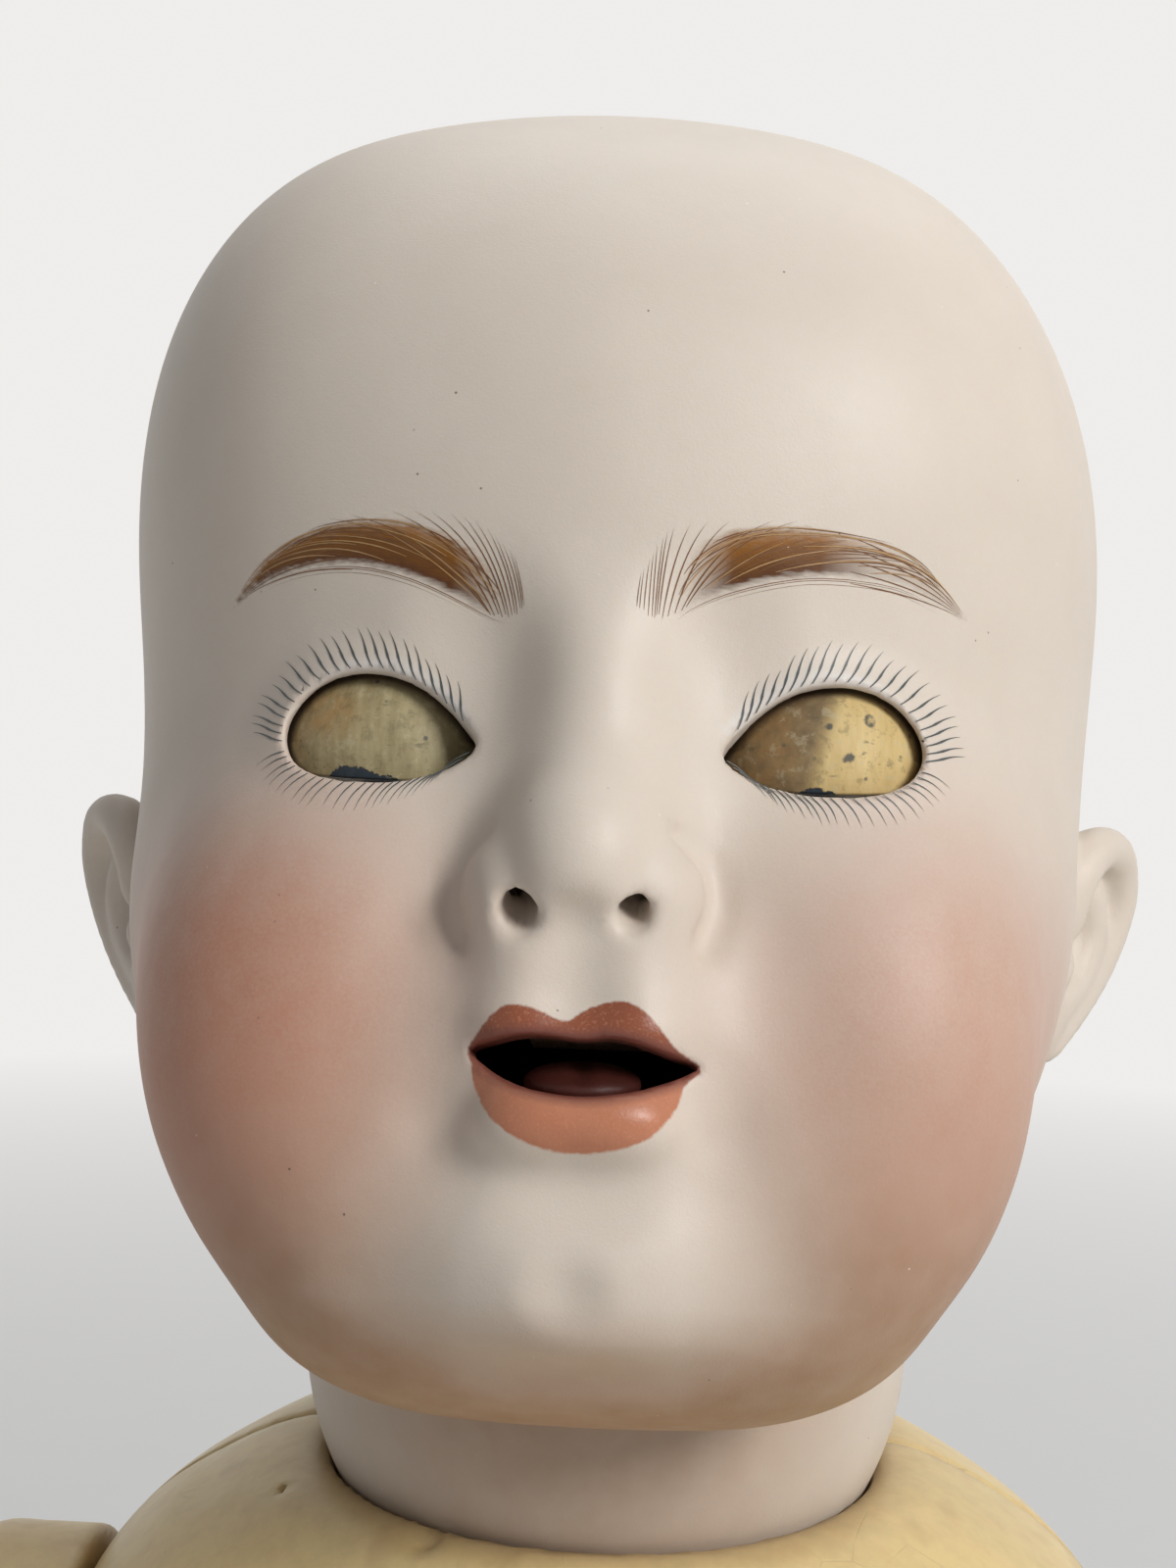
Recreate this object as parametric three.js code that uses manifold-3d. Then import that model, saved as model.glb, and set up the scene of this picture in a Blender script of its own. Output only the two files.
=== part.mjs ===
// Bisque-head baby doll with sleep eyes on a five-piece bent-limb body, sitting, in millimetres.
// +Z is up, the face looks along -Y and the doll's left is +X. The origin is the middle of the seat's flat.
import * as THREE from "three";
import { mergeVertices } from "three/addons/utils/BufferGeometryUtils.js";
import Module from "manifold-3d";

const wasm = await Module();
wasm.setup();

// Fits
const gluedGap = 0.3; // between pieces that are glued or seated on each other
const runningGap = 0.4; // between pieces that turn against each other
const overrun = 6; // how far a cutting shape runs past what it cuts

// Head
const headWidth = 118;
const headDepth = 132;
const headHeight = 160;
const crownLean = THREE.MathUtils.degToRad(3.6); // the crown has warped to the doll's right in the kiln
const headTilt = THREE.MathUtils.degToRad(17); // the face is tipped up in the neck socket
const bisqueWall = 4;
const crownTilt = THREE.MathUtils.degToRad(18); // the crown is cut sloping down to the back
const crownDepth = 8.7; // from the top of the skull down to the cut
const pateWall = 2;

// Neck
const neckRadius = 37.6;
const neckWall = 4.5;
const neckStand = 15; // the middle of the neck ball above the body's rim
const neckBack = 22.8; // the middle of the neck ball behind the middle of the head
const neckDrop = 56.8; // and below the eyes
const neckHole = 12;

// Sleep eyes
const eyeRadius = 11.7;
const eyeGlass = 1.5;
const eyeBackHole = 6;
const lidWall = 0.8;
const lidRim = 1.3; // bisque left over the lid at the edge of the opening
const openingWidth = 20.5;
const openingHeight = 11.2;
const eyeClosed = THREE.MathUtils.degToRad(52); // how far the eyes have dropped from open
const irisRadius = 6;
const seatWidth = 3.8;
const seatDepth = 10;
const eyeWireRadius = 1;
const weightRadius = 6.5;
const weightLength = 14;
const bumperWidth = 11;
const bumperHeight = 8;

// Mouth
const mouthWidth = 21.5;
const mouthHeight = 6.6;
const tongueWidth = 12;
const tongueLength = 12;
const tongueThick = 2.4;
const tongueWireRadius = 0.8;
const nostrilRadius = 1.6;
const nostrilSpacing = 10.4;

// Ears
const earHeight = 33;
const earDepth = 19;
const earThick = 9;

// Neck stringing
const buttonWall = 7.7;
const buttonSpread = THREE.MathUtils.degToRad(34);
const hookWire = 1.5;
const hookReach = 48; // from the middle of the neck ball to the elastic
const hookBar = 13;
const slotLength = 11;

// Body
const torsoHeight = 196;
const torsoWidth = 140;
const torsoDepth = 100;
const torsoWall = 4;
const cupHole = 20.5;
const seamGap = 0.3;
const seamBack = 5; // the side seam behind the middle of the body
const navelRadius = 4;

// Limb joints
const armDrop = 37; // the arms' axis below the body's rim
const armSocket = 65; // the flat that the arm turns on, from the middle
const armHub = 21;
const legAxisHeight = 31;
const legAxisForward = 8;
const legSocket = 40;
const legHub = 28;
const stringHole = 7;
const plugRadius = 8;
const plugLength = 10;
const limbHookWire = 1.2;
const elasticRadius = 1.8;
const elasticBend = 6;

// Limbs
const armReach = 90;
const armGirth = 22.5;
const handLength = 23;
const handWidth = 25;
const handThick = 14;
const fingerLength = 18;
const fingerRadius = 3.6;
const legReach = 140;
const legGirth = 30;
const footLength = 52;
const footWidth = 27;
const footThick = 21;
const toeRadius = 4;

// The number of faces round each kind of piece
const skinColumns = 38;
const skinRows = 27;
const liningColumns = 16;
const liningRows = 10;
const bodySides = 24;
const bodyLiningSides = 14;
const limbSides = 12;
const ballSides = 20;
const socketSides = 24;
const smallSides = 10;
const featureSides = 12;
const eyeSides = 16;
const fingerSides = 6;
const toeSides = 6;
const cordSides = 6;
const shankRows = 13;
const bendRows = 6;

const doll = new THREE.Group();
const head = new THREE.Group();
doll.add(head);

// Solids

function toSolid(geometry) {
  const bare = new THREE.BufferGeometry();
  bare.setAttribute("position", geometry.getAttribute("position").clone());
  if (geometry.index) bare.setIndex(geometry.index.clone());
  const merged = mergeVertices(bare);
  const corners = merged.index.array;
  const triangles = [];
  for (let i = 0; i < corners.length; i += 3) {
    const [a, b, c] = [corners[i], corners[i + 1], corners[i + 2]];
    if (a !== b && b !== c && c !== a) triangles.push(a, b, c);
  }
  const places = new Float32Array(merged.attributes.position.array);
  if (signedVolume(places, triangles) < 0) triangles.reverse();
  const mesh = new wasm.Mesh({ numProp: 3, vertProperties: places, triVerts: new Uint32Array(triangles) });
  return new wasm.Manifold(mesh);
}

function signedVolume(places, triangles) {
  const corner = (i) => new THREE.Vector3().fromArray(places, 3 * triangles[i]);
  let volume = 0;
  for (let i = 0; i < triangles.length; i += 3) {
    volume += corner(i).dot(corner(i + 1).cross(corner(i + 2)));
  }
  return volume;
}

function toGeometry(solid) {
  const mesh = solid.getMesh();
  const geometry = new THREE.BufferGeometry();
  geometry.setAttribute("position", new THREE.BufferAttribute(mesh.vertProperties, 3));
  geometry.setIndex(new THREE.BufferAttribute(mesh.triVerts, 1));
  geometry.computeVertexNormals();
  return geometry;
}

function mirrored(solid) {
  return toSolid(toGeometry(solid).scale(-1, 1, 1));
}

function place(name, solid, material, group) {
  const mesh = new THREE.Mesh(toGeometry(solid), material.clone());
  mesh.name = name;
  group.add(mesh);
}

function placePair(name, solid, material, group) {
  place(`left_${name}`, solid, material, group);
  place(`right_${name}`, mirrored(solid), material, group);
}

function joined(solids) {
  return solids.reduce((whole, solid) => whole.add(solid));
}

function ellipsoid(at, radii, sides = smallSides) {
  const geometry = new THREE.SphereGeometry(1, sides, sides / 2);
  return toSolid(geometry.rotateX(Math.PI / 2).scale(...radii).translate(...at));
}

// A round hollow in which a ball of this radius turns freely, though both have flat faces
function roundHollow(at, radius, sides) {
  const clear = radius / Math.cos(Math.PI / sides) ** 2;
  return ellipsoid(at, [clear, clear, clear], sides);
}

function block(at, size) {
  return toSolid(new THREE.BoxGeometry(...size).translate(...at));
}

// A straight round bar between two points
function bar(from, to, radius, sides = smallSides) {
  const run = new THREE.Vector3().subVectors(to, from);
  const geometry = new THREE.CylinderGeometry(radius, radius, run.length(), sides);
  const turn = new THREE.Quaternion().setFromUnitVectors(new THREE.Vector3(0, 1, 0), run.clone().normalize());
  const middle = new THREE.Vector3().addVectors(from, to).multiplyScalar(1 / 2);
  return toSolid(geometry.applyQuaternion(turn).translate(middle.x, middle.y, middle.z));
}

// A closed profile of [radius, height] pairs, spun round Z
function spun(profile, sides) {
  const points = profile.map(([radius, height]) => new THREE.Vector2(radius, height));
  return new THREE.LatheGeometry([...points, points[0]], sides).rotateX(Math.PI / 2);
}

// Points of an arc about the origin, with the angle measured from straight down
function arcFromBottom(radius, start, end, steps) {
  return Array.from({ length: steps + 1 }, (_, i) => {
    const angle = start + ((end - start) * i) / steps;
    return [radius * Math.sin(angle), -radius * Math.cos(angle)];
  });
}

// Rings of points closed into one skin, with a point at each end
function ringSkin(rings, start, end) {
  const sides = rings[0].length;
  const places = [start, ...rings.flat(), end].flatMap((point) => point.toArray());
  const last = 1 + rings.length * sides;
  const index = [];
  for (let side = 0; side < sides; side++) {
    const next = (side + 1) % sides;
    index.push(0, 1 + next, 1 + side);
    for (let ring = 0; ring + 1 < rings.length; ring++) {
      const low = 1 + ring * sides;
      const high = low + sides;
      index.push(low + side, low + next, high + next, low + side, high + next, high + side);
    }
    index.push(last, last - sides + side, last - sides + next);
  }
  const geometry = new THREE.BufferGeometry();
  geometry.setAttribute("position", new THREE.Float32BufferAttribute(places, 3));
  geometry.setIndex(index);
  return toSolid(geometry);
}

// A tube through points whose radius may change, with domed ends
function tapered(points, radii, { sides, steps, domeRings = 1, flat = 1 }) {
  const across = new THREE.Vector3(1, 0, 0);
  const path = new THREE.CatmullRomCurve3(points);
  const girth = new THREE.CatmullRomCurve3(radii.map((radius, i) => new THREE.Vector3(i, radius, 0)));
  const rings = [];
  const addRing = (share, beyond, narrowing) => {
    const along = path.getTangent(share);
    const radius = girth.getPoint(share).y;
    const centre = path.getPoint(share).addScaledVector(along, beyond * radius);
    const wide = across.clone().addScaledVector(along, -across.dot(along)).normalize();
    const thick = new THREE.Vector3().crossVectors(along, wide);
    rings.push(
      Array.from({ length: sides }, (_, side) => {
        const angle = (2 * Math.PI * side) / sides;
        return centre
          .clone()
          .addScaledVector(wide, narrowing * radius * Math.cos(angle))
          .addScaledVector(thick, flat * narrowing * radius * Math.sin(angle));
      }),
    );
  };
  const domeAngle = (ring) => (Math.PI / 2) * (ring / (domeRings + 1));
  for (let ring = domeRings; ring > 0; ring--) addRing(0, -Math.sin(domeAngle(ring)), Math.cos(domeAngle(ring)));
  for (let step = 0; step <= steps; step++) addRing(step / steps, 0, 1);
  for (let ring = 1; ring <= domeRings; ring++) addRing(1, Math.sin(domeAngle(ring)), Math.cos(domeAngle(ring)));
  const tip = (share, beyond) =>
    path.getPoint(share).addScaledVector(path.getTangent(share), beyond * girth.getPoint(share).y);
  return ringSkin(rings, tip(0, -1), tip(1, 1));
}

function wire(points, radius, steps) {
  const corners = Array.from({ length: cordSides }, (_, side) => {
    const angle = (2 * Math.PI * side) / cordSides;
    return new THREE.Vector2(radius * Math.cos(angle), radius * Math.sin(angle));
  });
  const settings = { steps, extrudePath: new THREE.CatmullRomCurve3(points), bevelEnabled: false };
  return toSolid(new THREE.ExtrudeGeometry(new THREE.Shape(corners), settings));
}

// Materials

function finish(color, roughness, metalness = 0) {
  return new THREE.MeshStandardMaterial({ color, roughness, metalness });
}
const bisque = finish(0xd3c2ac, 0.62);
const cardboard = finish(0xa88d64, 0.9);
const plaster = finish(0xe6dfd0, 0.9);
const glass = finish(0x5d6a70, 0.1);
const wax = finish(0xb79a5a, 0.4);
const lead = finish(0x6a6c6e, 0.6, 0.7);
const iron = finish(0x4b4743, 0.5, 0.8);
const cork = finish(0xa97c4c, 0.95);
const redPaint = finish(0x8c2a20, 0.5);
const wood = finish(0xa98258, 0.7);
const composition = finish(0xdcc595, 0.45);
const elasticCord = finish(0xcdbfa3, 0.9);

// Head form: rounded masses blended into each other, as shares of the head's width, depth and height
const headFormShares = [
  { name: "skull", at: [0, 0.06, 0.215], size: [0.448, 0.492, 0.367], blend: 0 },
  { name: "jaw", at: [0, -0.023, -0.069], size: [0.476, 0.379, 0.301], blend: 0.189 },
  { name: "forehead", at: [0, -0.106, 0.225], size: [0.356, 0.333, 0.212], blend: 0.13 },
  { name: "side of the dome", at: [0.226, 0.03, 0.257], size: [0.251, 0.4, 0.255], blend: 0.16 },
  { name: "cheek", at: [0.215, -0.25, -0.164], size: [0.183, 0.17, 0.184], blend: 0.1 },
  { name: "nose bridge", at: [0, -0.379, -0.01], size: [0.05, 0.076, 0.092], blend: 0.076 },
  { name: "nose tip", at: [0, -0.45, -0.084], size: [0.06, 0.06, 0.05], blend: 0.07 },
  { name: "nose wing", at: [0.058, -0.424, -0.101], size: [0.043, 0.046, 0.034], blend: 0.024 },
  { name: "muzzle", at: [0, -0.345, -0.21], size: [0.161, 0.106, 0.094], blend: 0.076 },
  { name: "mound over the lip", at: [0, -0.386, -0.178], size: [0.105, 0.061, 0.058], blend: 0.09 },
  { name: "upper lip", at: [0.038, -0.431, -0.189], size: [0.056, 0.033, 0.022], blend: 0.022 },
  { name: "lower lip", at: [0.022, -0.432, -0.241], size: [0.064, 0.042, 0.028], blend: 0.02 },
  { name: "chin", at: [0, -0.345, -0.322], size: [0.127, 0.087, 0.058], blend: 0.06 },
  { name: "double chin", at: [0, -0.205, -0.345], size: [0.255, 0.15, 0.075], blend: 0.088 },
];
// Soft hollows taken out of it, in the same shares
const headHollowShares = [
  { name: "beside the bridge", at: [0.102, -0.483, 0.028], size: [0.042, 0.057, 0.059], blend: 0.068 },
  { name: "fold beside the mouth", at: [0.131, -0.46, -0.18], size: [0.028, 0.027, 0.075], blend: 0.065 },
  { name: "under the lower lip", at: [0, -0.472, -0.292], size: [0.06, 0.023, 0.017], blend: 0.042 },
  { name: "beside the chin", at: [0.168, -0.394, -0.335], size: [0.026, 0.023, 0.028], blend: 0.06 },
  { name: "under the chin", at: [0, -0.378, -0.413], size: [0.118, 0.022, 0.017], blend: 0.055 },
];
const lidMoundBlendShare = 0.025;
const eyePlaceShares = { x: 0.186, y: 0.288 }; // of the head's width and depth

const eyeSpacing = 2 * eyePlaceShares.x * headWidth;
const eyeInset = eyePlaceShares.y * headDepth; // from the middle of the head forward to the eyes' axis
const eyeCentre = [eyeSpacing / 2, -eyeInset, 0];
const lidRadius = eyeRadius + gluedGap + lidWall;
const pocketRadius = lidRadius + runningGap;
const moundRadius = pocketRadius + lidRim;
const fullSize = ({ at, size, blend }) => ({
  at: [at[0] * headWidth, at[1] * headDepth, at[2] * headHeight],
  size: [size[0] * headWidth, size[1] * headDepth, size[2] * headHeight],
  blend: blend * headWidth,
});
const headForms = headFormShares.map(fullSize);
const headHollows = headHollowShares.map(fullSize);
headForms.push({
  at: eyeCentre,
  size: [moundRadius, moundRadius, moundRadius],
  blend: lidMoundBlendShare * headWidth,
});

// About how far a point lies outside a rounded mass
function distanceToForm(x, y, z, { at, size }) {
  const offset = [x - at[0], y - at[1], z - at[2]];
  const near = Math.hypot(...offset.map((far, i) => far / size[i]));
  return ((near - 1) * near) / Math.hypot(...offset.map((far, i) => far / size[i] ** 2));
}

function blended(a, b, width) {
  if (!width) return Math.min(a, b);
  const mix = Math.max(width - Math.abs(a - b), 0) / width;
  return Math.min(a, b) - (mix * mix * width) / 4;
}

function leanAt(z) {
  return z > 0 ? (Math.tan(crownLean) * z * z) / (z + headHeight / 8) : 0;
}

function distanceToHead(x, y, z) {
  const across = Math.abs(x + leanAt(z));
  const full = headForms.reduce(
    (far, form) => blended(far, distanceToForm(across, y, z, form), form.blend),
    Infinity,
  );
  return headHollows.reduce((far, form) => -blended(-far, distanceToForm(across, y, z, form), form.blend), full);
}

// The head's skin, sampled along rays from a middle point, closest together over the face
const skinMiddleShares = [0, -0.06, -0.08];
const frontCrowdingShare = 0.5;
const faceCrowdingShare = 0.5;
const faceLine = THREE.MathUtils.degToRad(-18);

function crowded(share, crowding) {
  return share * (crowding + (1 - crowding) * share * share);
}

function headSkin(columns, rows, inset) {
  const middle = new THREE.Vector3(
    skinMiddleShares[0] * headWidth,
    skinMiddleShares[1] * headDepth,
    skinMiddleShares[2] * headHeight,
  );
  const surfaceAlong = (direction) => {
    const isInside = (reach) => {
      const point = direction.clone().multiplyScalar(reach).add(middle);
      return distanceToHead(point.x, point.y, point.z) < -inset;
    };
    let far = headHeight;
    const stride = headHeight / 80;
    while (far > stride && !isInside(far)) far -= stride;
    let near = far;
    far += stride;
    for (let halving = 0; halving < 16; halving++) {
      const half = (near + far) / 2;
      if (isInside(half)) near = half;
      else far = half;
    }
    return direction.clone().multiplyScalar(near).add(middle);
  };
  const rings = [];
  for (let row = 1; row < rows; row++) {
    const share = (2 * row) / rows - 1;
    const range = share < 0 ? Math.PI / 2 + faceLine : Math.PI / 2 - faceLine;
    const rise = faceLine + range * crowded(share, faceCrowdingShare);
    rings.push(
      Array.from({ length: columns }, (_, column) => {
        const turn = Math.PI * crowded((2 * column) / columns - 1, frontCrowdingShare);
        const level = Math.cos(rise);
        return surfaceAlong(
          new THREE.Vector3(Math.sin(turn) * level, -Math.cos(turn) * level, Math.sin(rise)),
        );
      }),
    );
  }
  const bottom = surfaceAlong(new THREE.Vector3(0, 0, -1));
  const top = surfaceAlong(new THREE.Vector3(0, 0, 1));
  return ringSkin(rings, bottom, top);
}

const outerSkin = headSkin(skinColumns, skinRows, 0);
const lining = headSkin(liningColumns, liningRows, bisqueWall);
const liningInset = headSkin(liningColumns, liningRows, bisqueWall + gluedGap);
const pateLining = headSkin(liningColumns, liningRows, pateWall);

const neckCentre = new THREE.Vector3(0, neckBack, -neckDrop);
const skull = headForms[0];
const skullCentre = new THREE.Vector3(0, skull.at[1], skull.at[2]);

// All that lies above the crown's cut, raised by a gap
function aboveCrown(raise) {
  const up = new THREE.Vector3(0, Math.sin(crownTilt), Math.cos(crownTilt));
  const from = skullCentre.clone().addScaledVector(up, skull.size[2] - crownDepth + raise);
  return bar(from, from.clone().addScaledVector(up, headHeight), headHeight, smallSides);
}

// The eye opening: pointed at the nose, round at the temple, pushed through along Y
function eyeOpening() {
  const [wide, high] = [openingWidth / 2, openingHeight / 2];
  const cornerDropShare = 0.12;
  const outline = new THREE.Shape();
  outline.moveTo(0, -high);
  outline.absellipse(0, 0, wide, high, -Math.PI / 2, Math.PI / 2, false);
  outline.quadraticCurveTo(-0.6 * wide, high, -wide, -cornerDropShare * high);
  outline.quadraticCurveTo(-0.6 * wide, -high, 0, -high);
  const depth = moundRadius + overrun;
  const geometry = new THREE.ExtrudeGeometry(outline, { depth, bevelEnabled: false, curveSegments: 8 });
  return toSolid(geometry.rotateX(Math.PI / 2).translate(...eyeCentre));
}

const earForm = {
  outShare: 0.496, // of the head's width
  backShare: 0.075, // of the head's depth
  dropShare: 0.059, // of the head's height
  flare: THREE.MathUtils.degToRad(28),
  lean: THREE.MathUtils.degToRad(14), // the lobe stands closer in than the top
};

function ear() {
  const [thick, deep, tall] = [earThick / 2, earDepth / 2, earHeight / 2];
  const shell = ellipsoid([0, 0, 0], [thick, deep, tall], eyeSides);
  const scoop = ellipsoid([0.95 * thick, 0.08 * deep, 0.16 * tall], [0.62 * thick, 0.72 * deep, 0.7 * tall]);
  const ridge = ellipsoid([0.42 * thick, 0.28 * deep, 0.06 * tall], [0.34 * thick, 0.2 * deep, 0.42 * tall], 8);
  const tragus = ellipsoid([0.5 * thick, -0.62 * deep, -0.16 * tall], [0.55 * thick, 0.24 * deep, 0.2 * tall], 8);
  const shape = toGeometry(joined([shell.subtract(scoop), ridge, tragus]));
  return toSolid(
    shape
      .rotateZ(-earForm.flare)
      .rotateY(earForm.lean)
      .translate(earForm.outShare * headWidth, earForm.backShare * headDepth, -earForm.dropShare * headHeight),
  );
}

const mouthShares = { y: -0.44, z: -0.212 }; // of the head's depth and height
const mouthCentre = [0, mouthShares.y * headDepth, mouthShares.z * headHeight];
const nostrilShares = { y: -0.45, z: -0.125 }; // of the head's depth and height
const nostrilSlope = THREE.MathUtils.degToRad(42);

// The mouth opening: pointed corners, a bowed upper edge and a deeper lower one, pushed through along Y
function mouthOpening() {
  const [wide, high] = [mouthWidth / 2, mouthHeight / 2];
  const outline = new THREE.Shape();
  outline.moveTo(-wide, 0.2 * high);
  outline.quadraticCurveTo(-0.4 * wide, 1.2 * high, 0, 0.8 * high);
  outline.quadraticCurveTo(0.4 * wide, 1.2 * high, wide, 0);
  outline.quadraticCurveTo(0.5 * wide, -high, 0, -high);
  outline.quadraticCurveTo(-0.5 * wide, -high, -wide, 0.2 * high);
  const depth = 6 * bisqueWall;
  const geometry = new THREE.ExtrudeGeometry(outline, { depth, bevelEnabled: false, curveSegments: 5 });
  geometry.rotateX(Math.PI / 2).translate(mouthCentre[0], mouthCentre[1] + depth / 2, mouthCentre[2]);
  return toSolid(geometry);
}

// A short bore up into the wing of the nose
function nostril() {
  const at = new THREE.Vector3(nostrilSpacing / 2, nostrilShares.y * headDepth, nostrilShares.z * headHeight);
  const up = new THREE.Vector3(0, Math.cos(nostrilSlope), Math.sin(nostrilSlope));
  const outside = at.clone().addScaledVector(up, -6 * nostrilRadius);
  return bar(outside, at.addScaledVector(up, 1.5 * nostrilRadius), nostrilRadius, featureSides);
}

// The skin's facets are too wide for the nose and the lips, so their masses stand in it whole
function noseAndLips() {
  const fine = ["nose tip", "nose wing", "upper lip", "lower lip"];
  const masses = headForms
    .filter((_, index) => fine.includes(headFormShares[index]?.name))
    .map(({ at, size }) => {
      const mass = ellipsoid(at, size, featureSides);
      return at[0] > 0 ? joined([mass, mirrored(mass)]) : mass;
    });
  return joined(masses);
}

function bisqueHead() {
  const ears = ear();
  const neck = ellipsoid(neckCentre.toArray(), [neckRadius, neckRadius, neckRadius], ballSides);
  const neckBore = neckRadius - neckWall;
  const neckHollow = roundHollow(neckCentre.toArray(), neckBore, ballSides);
  const below = new THREE.Vector3(0, neckBack, -neckDrop - neckRadius - overrun);
  const pocket = roundHollow(eyeCentre, pocketRadius, eyeSides);
  const opening = eyeOpening();
  return joined([outerSkin, noseAndLips(), ears, mirrored(ears), neck])
    .subtract(joined([lining, neckHollow]))
    .subtract(bar(below, neckCentre, neckHole, ballSides))
    .subtract(joined([pocket, opening]))
    .subtract(joined([mirrored(pocket), mirrored(opening)]))
    .subtract(mouthOpening())
    .subtract(joined([nostril(), mirrored(nostril())]))
    .subtract(aboveCrown(0));
}
place("bisque_head", bisqueHead(), bisque, head);
place("crown_pate", outerSkin.subtract(pateLining).intersect(aboveCrown(gluedGap)), cardboard, head);

// Eye seats: a plaster ring behind each opening, in which the eye rocks
function eyeSeat() {
  const ring = toSolid(
    spun(
      [
        [pocketRadius - overrun / 2, 0],
        [pocketRadius + seatWidth, 0],
        [pocketRadius + seatWidth, seatDepth],
        [pocketRadius - overrun / 2, seatDepth],
      ],
      smallSides,
    )
      .rotateX(Math.PI / 2)
      .translate(...eyeCentre),
  );
  return ring.subtract(roundHollow(eyeCentre, pocketRadius, eyeSides));
}
place("left_eye_seat", eyeSeat().intersect(liningInset), plaster, head);
place("right_eye_seat", mirrored(eyeSeat()).intersect(liningInset), plaster, head);

// Sleep eyes: blown glass open at the back, a wax lid over the top, plaster and wire behind
function eyeball() {
  const front = Math.PI;
  const backAngle = Math.asin(eyeBackHole / eyeRadius);
  const inner = eyeRadius - eyeGlass;
  const innerAngle = Math.asin(eyeBackHole / inner);
  const outside = arcFromBottom(eyeRadius, backAngle, front, 6);
  const inside = arcFromBottom(inner, front, innerAngle, 5);
  return toSolid(spun([...outside, ...inside], smallSides).rotateX(Math.PI / 2));
}

function eyePiece(geometryOrSolid) {
  return toSolid(toGeometry(geometryOrSolid).translate(...eyeCentre));
}

const lidEdge = eyeClosed - Math.asin(irisRadius / eyeRadius); // below straight ahead
const lidTop = THREE.MathUtils.degToRad(75);
const lidSpread = THREE.MathUtils.degToRad(80);

// The lid is a patch of a thin ball, wide from corner to corner and open below the iris edge
function eyelid() {
  const inner = eyeRadius + gluedGap;
  const columns = 9;
  const rows = 5;
  const point = (radius, column, row) => {
    const rise = -lidEdge + ((lidTop + lidEdge) * row) / rows;
    const turn = lidSpread * ((2 * column) / columns - 1);
    return new THREE.Vector3(
      Math.sin(turn) * radius,
      -Math.cos(turn) * Math.cos(rise) * radius,
      Math.cos(turn) * Math.sin(rise) * radius,
    );
  };
  const places = [];
  for (const radius of [inner, lidRadius]) {
    for (let row = 0; row <= rows; row++) {
      for (let column = 0; column <= columns; column++) places.push(...point(radius, column, row).toArray());
    }
  }
  const layer = (rows + 1) * (columns + 1);
  const at = (side, row, column) => side * layer + row * (columns + 1) + column;
  const index = [];
  const quad = (a, b, c, d) => index.push(a, b, c, a, c, d);
  for (let row = 0; row < rows; row++) {
    for (let column = 0; column < columns; column++) {
      quad(at(1, row, column), at(1, row, column + 1), at(1, row + 1, column + 1), at(1, row + 1, column));
      quad(at(0, row, column), at(0, row + 1, column), at(0, row + 1, column + 1), at(0, row, column + 1));
    }
    quad(at(0, row, 0), at(1, row, 0), at(1, row + 1, 0), at(0, row + 1, 0));
    quad(at(1, row, columns), at(0, row, columns), at(0, row + 1, columns), at(1, row + 1, columns));
  }
  for (let column = 0; column < columns; column++) {
    quad(at(0, 0, column), at(0, 0, column + 1), at(1, 0, column + 1), at(1, 0, column));
    quad(at(1, rows, column), at(1, rows, column + 1), at(0, rows, column + 1), at(0, rows, column));
  }
  const geometry = new THREE.BufferGeometry();
  geometry.setAttribute("position", new THREE.Float32BufferAttribute(places, 3));
  geometry.setIndex(index);
  return toSolid(geometry);
}

const wireBack = eyeRadius + 4 * eyeWireRadius; // how far behind the axis the cross wire runs
const wireSink = 3 * eyeWireRadius; // how deep it goes into the plaster
const plasterDepth = eyeRadius / 2;

function eyePlaster() {
  const behind = Math.sqrt(eyeRadius ** 2 - eyeBackHole ** 2);
  const plug = bar(
    new THREE.Vector3(0, behind - plasterDepth, 0),
    new THREE.Vector3(0, behind + eyeWireRadius, 0),
    eyeBackHole - gluedGap,
    smallSides,
  );
  const hole = bar(
    new THREE.Vector3(0, behind - wireSink, 0),
    new THREE.Vector3(0, behind + overrun, 0),
    eyeWireRadius + gluedGap,
    cordSides,
  );
  return plug.subtract(hole);
}
placePair("eyeball", eyePiece(eyeball()), glass, head);
placePair("eyelid", eyePiece(eyelid()), wax, head);
placePair("eye_plaster", eyePiece(eyePlaster()), plaster, head);

// The weight's arm is as long as the bumper over the mouth is far down
const weightArm = -mouthCentre[2] - (mouthHeight + bumperHeight) / 2 - gluedGap;
const weightAngle = Math.PI / 2 - eyeClosed; // below level, behind the axis
const weightCentre = new THREE.Vector3(
  0,
  -eyeInset + weightArm * Math.cos(weightAngle),
  -weightArm * Math.sin(weightAngle),
);

function eyeWire() {
  const half = eyeSpacing / 2;
  const behind = Math.sqrt(eyeRadius ** 2 - eyeBackHole ** 2) - wireSink + gluedGap;
  const level = (x, back) => new THREE.Vector3(x, -eyeInset + back, 0);
  const cross = bar(level(-half, wireBack), level(half, wireBack), eyeWireRadius, cordSides);
  const stub = bar(level(half, behind), level(half, wireBack + eyeWireRadius), eyeWireRadius, cordSides);
  const arm = bar(level(0, wireBack), weightCentre, eyeWireRadius, cordSides);
  return joined([cross, stub, mirrored(stub), arm]);
}

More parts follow.
